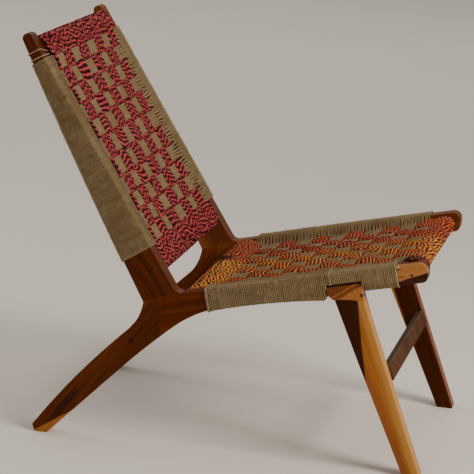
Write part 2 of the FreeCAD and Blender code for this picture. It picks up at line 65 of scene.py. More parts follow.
class Tubes:
    """Many tubes gathered into one mesh, with UVs along and around each, and a tone and a colour for each."""

    def __init__(self):
        self.v, self.q, self.cap, self.uv, self.tone, self.col, self.n = [], [], [], [], [], [], 0

    def add(self, P, r, ref, sides=8, closed=False, u=None, tone=0.5, col=(1, 1, 1), first=0, last=None):
        P = np.asarray(P, float)
        n = len(P)
        T = (np.roll(P, -1, 0) - np.roll(P, 1, 0)) if closed else np.gradient(P, axis=0)
        T /= np.linalg.norm(T, axis=1)[:, None]
        ref = np.broadcast_to(np.asarray(ref, float), P.shape)
        N = ref - (ref * T).sum(1)[:, None] * T
        N /= np.linalg.norm(N, axis=1)[:, None]
        B = np.cross(T, N)
        a = np.arange(sides) * TAU / sides
        r = np.broadcast_to(np.asarray(r, float), (n,))
        V = P[:, None] + r[:, None, None] * (np.cos(a)[None, :, None] * N[:, None] + np.sin(a)[None, :, None] * B[:, None])
        last = n - 1 if last is None else last
        V, U = V[first:last + 1], np.asarray(u, float)[first:last + 1]
        m = len(V)
        i = np.arange(m - 1)[:, None] * sides
        j = np.arange(sides)[None, :]
        j2 = (j + 1) % sides
        q = np.stack([i + j, i + j2, i + sides + j2, i + sides + j], -1).reshape(-1, 4) + self.n
        vj, vj2 = np.broadcast_arrays(j / sides, (j + 1) / sides)[0], (j + 1) / sides
        U0, U1 = U[:-1, None] + 0 * j, U[1:, None] + 0 * j
        V0, V1 = np.broadcast_to(j / sides, U0.shape), np.broadcast_to((j + 1) / sides, U0.shape)
        uv = np.stack([np.stack([U0, V0], -1), np.stack([U0, V1], -1), np.stack([U1, V1], -1), np.stack([U1, V0], -1)], 2)
        self.v.append(V.reshape(-1, 3))
        self.q.append(q)
        self.uv.append(uv.reshape(-1, 2))
        self.cap.append((list(range(self.n, self.n + sides))[::-1], U[0]))
        self.cap.append((list(range(self.n + (m - 1) * sides, self.n + m * sides)), U[-1]))
        self.tone.append(np.full(m * sides, tone))
        col = np.asarray(col, float)
        if col.ndim == 2:
            ring = np.concatenate([col[first:last + 1], np.ones((m, 1))], 1)
            self.col.append(np.repeat(ring, sides, 0))
        else:
            self.col.append(np.tile(np.array([*col, 1.0]), (m * sides, 1)))
        self.n += m * sides

    def build(self, name, material, node_names, slot):
        V, Q, UV = np.concatenate(self.v), np.concatenate(self.q), np.concatenate(self.uv)
        caps = [c for c, _ in self.cap]
        capuv = [(u0, k / len(c)) for c, u0 in self.cap for k in range(len(c))]
        loops = np.concatenate([Q.ravel(), np.array([i for c in caps for i in c])])
        starts = np.concatenate([np.arange(len(Q)) * 4, 4 * len(Q) + np.cumsum([0] + [len(c) for c in caps[:-1]])])
        me = bpy.data.meshes.new(name)
        me.vertices.add(len(V))
        me.vertices.foreach_set("co", V.astype(np.float32).ravel())
        me.loops.add(len(loops))
        me.loops.foreach_set("vertex_index", loops.astype(np.int32))
        me.polygons.add(len(starts))
        me.polygons.foreach_set("loop_start", starts.astype(np.int32))
        me.update(calc_edges=True)
        uvl = me.uv_layers.new(name="strand")
        uvl.data.foreach_set("uv", np.concatenate([UV.ravel(), np.array(capuv).ravel()]).astype(np.float32))
        at = me.attributes.new("tone", "FLOAT", "POINT")
        at.data.foreach_set("value", np.concatenate(self.tone).astype(np.float32))
        ac = me.attributes.new("yarn", "FLOAT_COLOR", "POINT")
        ac.data.foreach_set("color", np.concatenate(self.col).astype(np.float32).ravel())
        me.polygons.foreach_set("use_smooth", np.ones(len(starts), bool))
        me.validate()
        me.update()
        ob = bpy.data.objects.new(name, me)
        bpy.context.scene.collection.objects.link(ob)
        me.materials.append(material)
        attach(ob, "root")
        if node_names:
            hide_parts(*node_names)
        return ob


def length_of(P):
    return np.concatenate([[0.0], np.cumsum(np.linalg.norm(np.diff(P, axis=0), axis=1))])


def round_path(pts, radii, n=4):
    """A 2-D run of straight lines with its corners rounded, as points."""
    out = [np.array(pts[0], float)]
    for a, b, c, r in zip(pts[:-2], pts[1:-1], pts[2:], radii):
        a, b, c = (np.array(p, float) for p in (a, b, c))
        d0, d1 = (b - a) / np.linalg.norm(b - a), (c - b) / np.linalg.norm(c - b)
        ang = math.acos(max(-1, min(1, float(d0 @ d1))))
        if ang < 0.05 or r <= 0:
            out.append(b)
            continue
        t = min(r * math.tan(ang / 2), 0.49 * np.linalg.norm(b - a), 0.49 * np.linalg.norm(c - b))
        p0, p1 = b - d0 * t, b + d1 * t
        for k in range(n + 1):
            w = k / n
            out.append((1 - w) ** 2 * p0 + 2 * w * (1 - w) * b + w * w * p1)
    out.append(np.array(pts[-1], float))
    return np.array(out)


# ---------------------------------------------------------------- where the wood is
def tree(node):
    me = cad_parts[node].data
    return BVHTree.FromPolygons([v.co for v in me.vertices], [tuple(p.vertices) for p in me.polygons])


TREES = {n: tree(n) for n in ("right_back_post", "right_seat_rail", "right_rear_leg")}


def depth(names, s, z, ds, dz, xs=(-247.0, -258.0, -270.0), far=120.0):
    """How far the wood goes from (s, z) along (ds, dz), in mm."""
    best = []
    for x in xs:
        hits = []
        for n in names:
            o = Vector(((x) / 1000, (s + ds * 1.0 - MID) / 1000, (z + dz * 1.0) / 1000))
            h = TREES[n].ray_cast(o, Vector((0, ds, dz)), far / 1000)
            if h[0] is not None:
                hits.append(h[3] * 1000 + 1.0)
        if hits:
            best.append(max(hits))
    return float(np.median(best)) if best else 0.0


PF, PD = (479.0, 315.3), (0.5543, 0.8323)


def post(u, v):
    return PF[0] + u * PD[0] + v * PD[1], PF[1] + u * PD[1] - v * PD[0]


def rail_top(s):
    return 421.5 - 0.243 * s


# ---------------------------------------------------------------- the two belts of coloured cord
ARCH = {3: 1.0, 11: 1.9}          # how far a block of cords crowns between the jute, by belt
CORD = 2.3                        # radius of the coloured cord
JUTE = 1.8                        # radius of the jute twine


class Belt:
    sag = False
    give = ((0.0,), (0.0,))       # places along the belt, and how far its front layer is drawn in there

    def drawn_in(self, t, x):
        d = np.interp(t, *self.give) * (1 - 0.60 * np.exp(-((x + 241.0) / 24.0) ** 2))
        if self.sag:                  # the seat has given most at its far rear corner
            d = d + (2.0 + 3.0 * smooth((230.0 - t) / 200.0)) * smooth((x - 90.0) / 110.0) * smooth((t - 20.0) / 40.0) * smooth((400.0 - t) / 60.0)
        d = d + 1.0 * (1 - (x / 237.0) ** 2) * smooth(t / 60.0) * smooth((self.L - t) / 60.0)
        return d

    def __init__(self, a, b, radius):
        self.a, self.b, self.R = np.array(a), np.array(b), radius
        v = self.a - self.b
        self.L = float(np.linalg.norm(v))
        self.d = v / self.L
        self.n = np.array([-self.d[1], self.d[0]])     # outward from the side that is sat on

    def front(self, t, off, x=0.0):
        p = self.b + np.multiply.outer(t, self.d) + np.multiply.outer(self.R + off - self.drawn_in(t, x), self.n)
        return p[..., 0], p[..., 1]

    def rear(self, t, off):
        p = self.b + np.multiply.outer(t, self.d) - np.multiply.outer(self.R + off, self.n)
        return p[..., 0], p[..., 1]

    def round_a(self, ang, off):
        c, s = np.cos(ang), np.sin(ang)
        p = self.a + (self.R + off)[:, None] * (c[:, None] * self.n + s[:, None] * self.d)
        return p[:, 0], p[:, 1]

    def round_b(self, ang, off):
        c, s = np.cos(ang), np.sin(ang)
        p = self.b + (self.R + off)[:, None] * (-c[:, None] * self.n - s[:, None] * self.d)
        return p[:, 0], p[:, 1]


BACK = Belt((781.0, 751.6), (524.0, 351.3), 15.1)
SEAT = Belt((27.0, 392.0), (447.8, 295.3), 15.1)
if BACK.n[0] > 0:
    BACK.n = -BACK.n
if SEAT.n[1] < 0:
    SEAT.n = -SEAT.n

BACK.give = ([0.0, 20.0, 55.0, 240.0, 418.0, 450.0, BACK.L], [0.0, 0.2, 2.0, 5.2, 8.2, 3.0, 0.0])
SEAT.sag = True
SEAT.give = ([0.0, 14.0, 34.0, 58.0, 216.0, 372.0, 398.0, SEAT.L], [0.0, 0.6, 4.6, 8.0, 7.6, 4.4, 1.8, 0.0])

# rows of the back from the bottom: where each row ends along the belt, and where the groups of cords part across it
BACK_ROWS = np.array([92, 127, 163, 199, 235, 277, 319, 360, 395, 433, 470, 503.0]) - 54.9
BACK_COLS = np.array([
    [-230, -182, -137, -97, -36, 26, 85, 130, 187],
    [-226, -178, -138, -90, -34, 26, 78, 130, 182],
    [-222, -176, -130, -84, -34, 18, 78, 130, 178],
    [-222, -174, -128, -82, -33, 24, 76, 124, 174],
    [-219, -171, -122, -81, -25, 24, 72, 124, 175],
    [-222, -171, -127, -76, -28, 30, 77, 126, 172],
    [-222, -172, -124, -76, -22, 27, 78, 124, 174],
    [-222, -168, -128, -72, -25, 30, 80, 135, 178],
    [-216, -176, -125, -76, -15, 35, 88, 137, 187],
    [-226, -174, -128, -72, -17, 47, 95, 153, 203],
    [-221, -178, -126, -72.5, -14, 47, 100, 149, 203.0]]) + np.array([14, 16, 18, 19, 20, 20, 19, 18, 16.0])
BACK_SIGN = np.array([[(1 if (11 - k + g) % 2 else -1) if g < 9 else -1 for g in range(10)] for k in range(11)])
BACK_COUNT = [3, 10, 10, 11, 11, 12, 11, 10, 10, 6]

BUNDLE = ((-236.4, 3.4), (-231.4, 4.0), (-236.8, 8.3), (-232.0, 8.9), (-241.2, 10.9), (-245.6, 10.3), (-236.9, 13.0))
_st = lambda s: (447.8 + 3.6 - s) / 0.9745
SEAT_ROWS = np.array([_st(s) for s in (402, 367, 333, 298, 263, 228, 191, 155, 118, 83, 47.0)])
SEAT_COLS = np.array([[-203, -148, -92, -43, 3, 54, 100, 148, 215.0]] * 10) + RNG.normal(0, 2.0, (10, 9))
# groups from the near side: 0 is the dark selvedge, 1 to 8 the checks, 9 the far selvedge
SEAT_SIGN = np.array([[(1 if ((9 - g) + (k + 1)) % 2 else -1) if 0 < g < 9 else -1 for g in range(10)] for k in range(10)])
SEAT_COUNT = [7, 11, 12, 10, 10, 11, 10, 11, 15, 2]


def cord_colour_back(g, i, n, rng):
    base = np.array([0.44, 0.052, 0.068])
    base = base * (1 + rng.normal(0, 0.12)) + np.array([0.0, rng.normal(0, 0.006), rng.normal(0, 0.008)])
    return np.clip(base, 0.02, 0.9)


SEAT_YARN = {0: (0.045, 0.006, 0.012), 1: (0.58, 0.105, 0.016), 2: (0.60, 0.130, 0.018), 3: (0.66, 0.19, 0.024),
             4: (0.70, 0.24, 0.026), 5: (0.58, 0.12, 0.018), 6: (0.42, 0.026, 0.020), 7: (0.46, 0.032, 0.016),
             8: (0.56, 0.060, 0.016), 9: (0.58, 0.080, 0.026)}


def cord_colour_seat(g, i, n, rng):
    base = np.array(SEAT_YARN[g])
    if rng.random() < 0.16 and 1 <= g <= 8:
        base = np.array(SEAT_YARN[min(8, max(1, g + rng.choice([-1, 1])))])
    base = base * (1 + rng.normal(0, 0.10)) + np.array([0.0, abs(rng.normal(0, 0.02)), 0.0])
    return np.clip(base, 0.008, 0.92)


def warp(belt, rows, cols, signs, counts, names, node, slot, material, colour, seed, roll_edge, pitch=10.6):
    """Coloured cord: closed turns round both rails, over and under the jute on both faces."""
    rng = np.random.default_rng(seed)
    mids = 0.5 * (rows[:-1] + rows[1:])
    L = belt.L
    n_f = int(L / 4.4)
    t_f = np.linspace(0, L, n_f)
    n_a = 13
    ang = np.linspace(0, math.pi, n_a + 2)[1:-1]
    total = sum(counts)
    k_all = 0
    made = []
    f1, f2, f3, f4 = rng.uniform(0, TAU, 4)
    slope = rng.normal(0, 0.085, (len(rows) + 1, 10))
    slope[rng.random(slope.shape) < 0.16] += 0.24
    slope[rng.random(slope.shape) < 0.10] -= 0.24
    batch = Tubes()
    groups_in = []
    for g, n in enumerate(counts):
        lo = cols[:, g - 1] if g > 0 else cols[:, 0] - (9.0 if seed == 3 else 27.0)
        hi = cols[:, g] if g < 9 else cols[:, 8] + (22.0 if seed == 3 else 8.0)
        for i in range(n):
            fr = (i + 0.5) / n
            xr = -236.4 + 472.8 * k_all / (total - 1)           # spread evenly on the rails
            tt = np.concatenate([[roll_edge[0], rows[0] - 3], mids, [rows[-1] + 3, roll_edge[1]]])
            xm = lo + fr * (hi - lo)
            xx = np.concatenate([[xr, 0.5 * (xr + xm[0])], xm, [0.5 * (xr + xm[-1]), xr]])
            jit = rng.uniform(-1.2, 1.2, len(rows))
            s_col = np.concatenate([[0.3], signs[:, g], [0.3]])
            over = steps(t_f, rows + jit, s_col, 5.0)
            wob = lambda a, q: a * np.sin(q * (t_f / L) * TAU + rng.uniform(0, TAU))
            x_f = np.interp(t_f, tt, xx) + wob(0.5, 3) + wob(0.45, 7)
            grp = np.interp(t_f, tt, np.concatenate([[xr, xr], 0.5 * (lo + hi), [xr, xr]]))
            x_f = x_f + (x_f - grp) * 0.07 * over * (1 if 0 < g < 9 else 0)
            arch = np.interp(t_f, np.sort(np.concatenate([rows, mids])), np.tile([0.0, 1.0], len(rows))[:2 * len(rows) - 1])
            arch = smooth(arch) * (over > 0)
            off_f = np.where(over > 0, over * 2.0 + arch * ARCH[seed], over * 1.7) + rng.normal(0, 0.18)
            pile_end, bundle_x = 0.0, None
            if seed != 3 and g == 0:              # the dark selvedge is gathered over the front rail's end
                pile = smooth((t_f - rows[-1] + 16) / 30)
                bundle_x, pile_end = BUNDLE[i]
                off_f = off_f * (1 - pile) + pile_end * pile
                x_f = x_f * (1 - pile) + bundle_x * pile
            x_b = np.interp(t_f, tt, xx) + wob(0.5, 3) + wob(0.45, 6)
            x_b = x_b + (x_b - grp) * 0.07 * over * (1 if 0 < g < 9 else 0)
            off_b = np.where(over > 0, over * 2.0, over * 1.7) + rng.normal(0, 0.18)
            ra, rb = rng.uniform(0.0, 1.9), rng.uniform(0.0, 1.9)
            da, db = rng.normal(0, 3.2), rng.normal(0, 3.2)
            wave_t = smooth((t_f - rows[-1]) / 14) * rng.normal(0, 2.4) * np.sin((t_f - rows[-1]) * 0.11 + rng.uniform(0, TAU))
            wave_b = smooth((rows[0] - t_f) / 14) * rng.normal(0, 2.4) * np.sin((rows[0] - t_f) * 0.10 + rng.uniform(0, TAU))
            if bundle_x is not None:
                wave_t = wave_t * 0.1
            x_f = x_f + wave_t + wave_b
            x_a = np.interp(ang, [0, math.pi], [x_f[-1], x_b[-1]]) + da * np.sin(ang)
            if bundle_x is not None:
                x_a = x_b[-1] + (x_f[-1] - x_b[-1]) * (1 - smooth((ang - 0.3) / 1.2))
            x_c = np.interp(ang, [0, math.pi], [x_b[0], x_f[0]]) + db * np.sin(ang)
            s1, z1 = belt.front(t_f, off_f, x_f)
            s2, z2 = belt.round_a(ang, ra * np.sin(ang) + 0.3 + pile_end * (1 - smooth((ang - 0.6) / 2.2)))
            s3, z3 = belt.rear(t_f[::-1], off_b[::-1])
            s4, z4 = belt.round_b(ang, rb * np.sin(ang) + 0.3)
            X = np.concatenate([x_f, x_a, x_b[::-1], x_c])
            S = np.concatenate([s1, s2, s3, s4])
            Z = np.concatenate([z1, z2, z3, z4])
            over_rail = (Z > 421.5 - 0.243 * S + 1.9) if bundle_x is not None else np.zeros(len(X), bool)
            X = np.clip(X, np.where(over_rail, -246.0, -238.6), 238.6)
            P = to_m(X, S, Z)
            P = np.concatenate([P, P[:1]])
            Lc = length_of(P) * 1000
            sl = np.interp(np.concatenate([t_f, np.full(len(ang), L), t_f[::-1], np.zeros(len(ang) + 1)]),
                           np.concatenate([[0.0], mids, [L]]), slope[:, g])
            roll = np.concatenate([1 - smooth((t_f - rows[0] + 22) / 20) + smooth((t_f - rows[-1] - 2) / 16), np.ones(len(ang)),
                                   np.zeros(len(t_f)), np.ones(len(ang) + 1)])
            roll = np.clip(roll, 0, 1)
            ph = (0.35 * math.sin(k_all * 0.23 + f1) + 0.30 * math.sin(k_all * 0.47 + f2)
                  + 0.30 * np.sin(Lc * 0.021 + k_all * 0.09 + f3) + 0.16 * np.sin(Lc * 0.055 + k_all * 0.31 + f4)
                  + sl * (i - n / 2) + rng.normal(0, 0.12 if seed == 3 else 0.16)
                  + roll * (rng.normal(0, 0.22) + 0.16 * np.sin(Lc * 0.35 + rng.uniform(0, TAU))))
            U = Lc / pitch + ph
            r = CORD / 1000 * (1 + 0.05 * np.sin(Lc * 0.9 + rng.uniform(0, TAU)))
            shade = np.tile(colour(g, i, n, rng), (len(P), 1))
            if seed != 3:
                dark = np.array([0.050, 0.008, 0.020])
                m_f = smooth((t_f - rows[-1] + 14) / 12) if g == 0 else np.zeros(n_f)
                m_a = 1 - smooth((ang - 2.2) / 0.6) if g == 0 else np.zeros(len(ang))
                patch = 26.0 < xr < 74.0 + 3 * (i % 3)
                m_f = np.maximum(m_f, 1 - smooth((t_f - 10 - 4 * (i % 4)) / 8)) if patch else m_f
                m_c = smooth((ang - 1.6 + 0.25 * (i % 3)) / 0.3) if patch else np.zeros(len(ang))
                mk = np.concatenate([m_f, m_a, np.zeros(n_f), m_c, m_c[-1:] * 0 + m_f[:1]])[:, None]
                if g == 0:
                    shade = np.tile(np.array([0.70, 0.17, 0.02]), (len(P), 1))
                # the rolls are lighter: golden on the near part, salmon at the far end of the rear one
                r_f = (1 - smooth((t_f - rows[0] + 12) / 18)) * 0.72 + smooth((t_f - rows[-1] - 4) / 18) * 0.30
                r_c = np.concatenate([r_f, np.full(len(ang), 0.30), np.full(n_f, 0.0), np.full(len(ang), 0.72), r_f[:1]])[:, None]
                gold = np.array([0.98, 0.45, 0.070]) if xr < 26.0 else np.array([0.66, 0.150, 0.060])
                shade = shade * (1 - r_c) + gold * r_c
                shade = shade * (1 - mk) + dark * mk
            batch.add(P, r, (1.0, 0.0, 0.0), sides=8, u=U, tone=rng.random(), col=shade)
            k_all += 1
        groups_in.append(g)
        if len(groups_in) == 5 or g == 9:
            made.append(batch.build(names[len(made)], material, (node,), slot))
            batch, groups_in = Tubes(), []
    return made


# ---------------------------------------------------------------- jute turns
def jute_turns(belt, loops, rows, cols, signs, place, names, nodes, material, seed, side_path):
    """Each turn of twine runs across the front, round one side frame, across the rear and round the other.
    It is cut where it meets the frames, into the pieces that stand for the frame's own nodes."""
    rng = np.random.default_rng(seed)
    parts = {k: Tubes() for k in ("front", "rear", "left", "right")}
    nx = 118
    for nth, (row, t_side, t_mid) in enumerate(loops):
        xs = np.concatenate([[-XI, -240.2, -239.0, -237.0, -234.0, -230.0], np.linspace(-225, 225, nx - 12), [230.0, 234.0, 237.0, 239.0, 240.2, XI]])
        jit = rng.uniform(-1.5, 1.5, 9)
        w_sign = -signs[row] if 0 <= row < len(signs) else -np.ones(10)
        if 0 <= row < len(signs):
            b = cols[row] + jit
            over = steps(xs, b, w_sign, 3.4)
        else:
            over = np.ones(nx)
        cc = cols[min(max(row, 0), len(cols) - 1)]
        lane_lo = smooth((cc[0] + 4.0 - xs) / (XI + cc[0] - 4.0))
        lane_hi = smooth((xs - cc[8] + (2.0 if place == "back" else 26.0)) / (XI - cc[8] + (-6.0 if place == "back" else 20.0)))
        lane = np.maximum(lane_lo, lane_hi)           # along the frame the turns spread out before they rise to it
        rise = np.maximum(smooth((-xs - 231.0) / (XI - 231.0)), smooth((xs - 229.0) / (XI - 229.0)))
        gap_hi = np.exp(-((xs - (216.0 if place == "back" else 230.0) + rng.uniform(-6, 10)) / rng.uniform(14.0, 30.0)) ** 2)
        gap_lo = np.exp(-((xs + 229.0) / 9.0) ** 2) * 0.45
        pair = (1.0 * (1 if nth % 2 else -1) + rng.normal(0, 0.60)) * (gap_hi + gap_lo)
        side = lane
        t = t_mid * (1 - lane) + t_side * lane + pair + 0.35 * np.sin(xs * 0.05 + rng.uniform(0, TAU)) * (1 - side)
        lie = 2.5 if place == "back" else 1.8      # on the seat the jute is drawn in between the crowned cords
        off = np.where(over > 0, over * lie, over * 2.5) + rng.normal(0, 0.22) - (0.8 * (nth % 2)) * gap_hi
        wrap = side_path(t_side, rng)                 # left side, from the front inner corner to the rear inner corner
        (sf, zf), (sb, zb) = wrap["front"], wrap["rear"]
        s1, z1 = belt.front(t, off, xs)
        s1, z1 = s1 * (1 - rise) + sf * rise, z1 * (1 - rise) + zf * rise
        s3, z3 = belt.rear(t, off)
        s3, z3 = s3 * (1 - rise) + sb * rise, z3 * (1 - rise) + zb * rise
        fx, fs, fz = wrap["x"], wrap["s"], wrap["z"]
        X = np.concatenate([xs, fx, xs[::-1], -fx[::-1]])
        S = np.concatenate([s1, fs, s3[::-1], fs[::-1]])
        Z = np.concatenate([z1, fz, z3[::-1], fz[::-1]])
        P = to_m(X, S, Z)
        n = len(P)
        Lc = length_of(P) * 1000
        U = Lc / 3.6 + rng.uniform(0, 1)
        r = JUTE / 1000 * (1 + 0.07 * np.sin(Lc * 0.11 + rng.uniform(0, TAU)) + 0.05 * np.sin(Lc * 0.43 + rng.uniform(0, TAU)))
        ref = wrap["ref"]
        tone = rng.random()
        m = len(fx)
        cuts = {"front": (0, nx - 1), "left": (nx - 1, nx + m), "rear": (nx + m, 2 * nx + m - 1), "right": (2 * nx + m - 1, n)}
        P2 = np.concatenate([P, P[:1]])
        U2 = np.concatenate([U, [U[-1] + np.linalg.norm(P[0] - P[-1]) * 1000 / 3.6]])
        r2 = np.concatenate([r, r[:1]])
        for k, (a, b2) in cuts.items():
            parts[k].add(P2, r2, ref, sides=7, closed=False, u=U2, tone=tone, first=a, last=b2)
    made = {}
    for k, name, node in zip(("front", "rear", "left", "right"), names, nodes):
        made[k] = parts[k].build(name, M_SEAT_JUTE_SHADED if (k == "front" and place == "seat") else material, (node,), "jute")
    return made


def back_side(t, rng):
    u = t + 54.9 + 0.2
    g = JUTE + 0.2
    w = depth(("right_back_post", "right_rear_leg", "right_seat_rail"), *post(u, 0.0), PD[1], -PD[0], far=75.0)
    w = min(max(w, 19.0), 63.0)
    lift = abs(rng.normal(0, 0.12))
    pts = round_path([(XI, -g), (XO + g, -g), (XO + g, w + g), (XI, w + g)], [g + 3.0, g + 3.0], 4)
    sv = [post(u, v) for v in pts[:, 1]]
    s, z = np.array([p[0] for p in sv]), np.array([p[1] for p in sv])
    x = pts[:, 0] + 0 * lift
    return {"front": (s[0], z[0]), "rear": (s[-1], z[-1]), "x": x[1:-1], "s": s[1:-1], "z": z[1:-1], "ref": (0.0, PD[0], PD[1])}


SEAT_DOWN = (-0.2361, -0.9717)


def seat_side(t, rng):
    s0 = 447.8 - 0.9745 * t + 3.8
    z0 = rail_top(s0)
    g = JUTE + 0.2
    dpt = depth(("right_seat_rail",), s0, z0, *SEAT_DOWN, far=80.0)
    dpt = min(max(dpt, 18.0), 62.0)
    if 112.0 < s0 < 125.0:               # the last turns in front of the leg's head
        dpt = depth(("right_seat_rail",), 111.0, rail_top(111.0), *SEAT_DOWN, far=80.0)
    elif s0 < 183.5 and s0 >= 125.0:
        dpt = 18.0
    if s0 < 125.0:
        pts = [(XI, -g), (XO + g, -g), (XO + g, dpt + g - 12.0), (XO + g - 12.0, dpt + g), (XI, dpt + g)]
        pts = round_path(pts, [g + 2.6, g + 3.0, g + 3.0], 4)
    else:
        pts = round_path([(XI, -g), (XO + g, -g), (XO + g, dpt + g), (XI, dpt + g)], [g + 2.6, g + 2.6], 5)
    s = s0 + SEAT_DOWN[0] * pts[:, 1]
    z = z0 + SEAT_DOWN[1] * pts[:, 1]
    return {"front": (s[0], z[0]), "rear": (s[-1], z[-1]), "x": pts[1:-1, 0], "s": s[1:-1], "z": z[1:-1], "ref": (0.0, -0.9717, 0.2361)}


def loops_of(rows, lo, hi, step, squeeze, rng):
    """Twine turns: (row, place at the side frame, place in the weave)."""
    out = []
    edges = np.concatenate([rows])
    for k in range(len(edges) - 1):
        a, b = max(edges[k], lo), min(edges[k + 1], hi)
        n = max(1, int(round((b - a) / step)))
        c = 0.5 * (edges[k] + edges[k + 1])
        pw = squeeze * (edges[k + 1] - edges[k]) / n
        for j in range(n):
            out.append((k, a + (j + 0.5) * (b - a) / n + rng.normal(0, 0.12), c + (j - (n - 1) / 2) * pw))
    return out


# ---------------------------------------------------------------- shader helpers
class Net:
    def __init__(self, name):
        self.m = bpy.data.materials.new(name)
        self.m.use_nodes = True
        self.t = self.m.node_tree
        self.bsdf = next(n for n in self.t.nodes if n.type == "BSDF_PRINCIPLED")

    def node(self, kind, **kw):
        n = self.t.nodes.new(kind)
        for k, v in kw.items():
            setattr(n, k, v)
        return n

    def put(self, sock, v):
        if isinstance(v, bpy.types.NodeSocket):
            self.t.links.new(v, sock)
        else:
            sock.default_value = v

    def math(self, op, a, b=0.0, c=0.0, clamp=False):
        n = self.node("ShaderNodeMath", operation=op, use_clamp=clamp)
        self.put(n.inputs[0], a)
        self.put(n.inputs[1], b)
        if len(n.inputs) > 2:
            self.put(n.inputs[2], c)
        return n.outputs[0]

    def dot(self, vec, axis):
        n = self.node("ShaderNodeVectorMath", operation="DOT_PRODUCT")
        self.put(n.inputs[0], vec)
        n.inputs[1].default_value = axis
        return n.outputs["Value"]

    def xyz(self, x, y, z):
        n = self.node("ShaderNodeCombineXYZ")
        for s, v in zip(n.inputs, (x, y, z)):
            self.put(s, v)
        return n.outputs[0]

    def noise(self, vec, scale=1.0, detail=3.0, rough=0.5, distort=0.0, dims="3D"):
        n = self.node("ShaderNodeTexNoise", noise_dimensions=dims)
        if dims == "1D":
            self.put(n.inputs["W"], vec)
        else:
            self.put(n.inputs["Vector"], vec)
        n.inputs["Scale"].default_value = scale
        n.inputs["Detail"].default_value = detail
        n.inputs["Roughness"].default_value = rough
        n.inputs["Distortion"].default_value = distort
        return n.outputs["Fac"]

    def ramp(self, fac, stops, mode="LINEAR"):
        n = self.node("ShaderNodeValToRGB")
        n.color_ramp.interpolation = mode
        while len(n.color_ramp.elements) < len(stops):
            n.color_ramp.elements.new(0.5)
        for e, (p, c) in zip(n.color_ramp.elements, stops):
            e.position = p
            e.color = (*c, 1.0) if hasattr(c, "__len__") else (c, c, c, 1.0)
        self.put(n.inputs[0], fac)
        return n.outputs["Color"]

    def map(self, v, a, b, c=0.0, d=1.0):
        n = self.node("ShaderNodeMapRange", interpolation_type="SMOOTHSTEP")
        self.put(n.inputs[0], v)
        for s, x in zip(list(n.inputs)[1:5], (a, b, c, d)):
            s.default_value = x
        return n.outputs[0]

    def mix(self, fac, a, b, blend="MIX"):
        n = self.node("ShaderNodeMix", data_type="RGBA", blend_type=blend)
        self.put(n.inputs[0], fac)
        for s, v in ((n.inputs[6], a), (n.inputs[7], b)):
            if isinstance(v, bpy.types.NodeSocket):
                self.put(s, v)
            else:
                s.default_value = (*v, 1.0)
        return n.outputs[2]

    def bump(self, height, dist, strength=1.0):
        n = self.node("ShaderNodeBump")
        self.put(n.inputs["Height"], height)
        n.inputs["Distance"].default_value = dist
        n.inputs["Strength"].default_value = strength
        return n.outputs[0]

    def scalar(self, col):
        n = self.node("ShaderNodeRGBToBW")
        self.put(n.inputs[0], col)
        return n.outputs[0]

    def set(self, **kw):
        for k, v in kw.items():
            s = self.bsdf.inputs[k.replace("_", " ")]
            if not isinstance(v, bpy.types.NodeSocket) and hasattr(v, "__len__") and len(v) == 3 and s.type == "RGBA":
                v = (*v, 1.0)
            self.put(s, v)


def mat_cord(name, dark, part=0.50, fleck_and_sheen=(0.74, 0.27, 0.22)):
    k = Net(name)
    uv = k.node("ShaderNodeUVMap", uv_map="strand").outputs[0]
    sep = k.node("ShaderNodeSeparateXYZ")
    k.put(sep.inputs[0], uv)
    obj = k.node("ShaderNodeTexCoord").outputs["Object"]
    col = k.node("ShaderNodeAttribute", attribute_name="yarn").outputs["Color"]
    tone = k.node("ShaderNodeAttribute", attribute_name="tone").outputs["Fac"]
    wig = k.noise(obj, 260.0, 2.0)
    ph = k.math("ADD", sep.outputs[0], k.math("ADD", sep.outputs[1], k.math("MULTIPLY", wig, 0.12)))
    fr = k.math("FRACT", ph)
    mask = k.ramp(fr, [(0.0, 0.0), (0.07, 1.0), (part - 0.05, 1.0), (part + 0.03, 0.0), (1.0, 0.0)])
    m = k.scalar(mask)
    ply = k.scalar(k.ramp(fr, [(0.0, 0.0), (0.10, 0.75), (0.29, 1.0), (0.48, 0.75), (0.58, 0.0), (0.68, 0.7), (0.79, 0.9), (0.90, 0.7), (1.0, 0.0)]))
    fib = k.noise(k.xyz(k.math("MULTIPLY", k.math("SUBTRACT", sep.outputs[0], sep.outputs[1]), 2.2),
                        k.math("MULTIPLY", k.math("ADD", sep.outputs[0], sep.outputs[1]), 26.0), tone), 1.0, 3.0, 0.6)
    grime = k.noise(obj, 38.0, 3.0, 0.55)
    c1 = k.mix(k.map(grime, 0.35, 0.72, 0.0, 0.55), col, tuple(0.45 * q for q in fleck_and_sheen), "MIX")
    # light fibres: partly real flecks, partly a painted sheen on the fibres
    c1 = k.mix(k.map(fib, 0.55, 0.85, 0.0, 0.30), c1, fleck_and_sheen, "MIX")
    c1 = k.mix(k.map(fib, 0.45, 0.20, 0.0, 0.45), c1, (0.10, 0.008, 0.008), "MIX")
    # the dark ply lightens on its fibres: a painted sheen
    d1 = k.mix(k.map(fib, 0.35, 0.8, 0.0, 0.5), dark, tuple(min(1.0, 3.2 * c + 0.012) for c in dark), "MIX")
    base = k.mix(m, d1, c1)
    # painted shade: the grooves between the plies are darkened
    base = k.mix(k.map(ply, 0.0, 0.65, 0.78, 0.0), base, (0.012, 0.004, 0.004), "MIX")
    k.set(Base_Color=base, Roughness=k.map(fib, 0.2, 0.8, 0.52, 0.80), Specular_IOR_Level=0.08, Specular_Tint=(1.0, 0.60, 0.42),
          Normal=k.bump(k.math("ADD", ply, k.math("MULTIPLY", fib, 0.22)), 0.0009, 1.0))
    return k.m


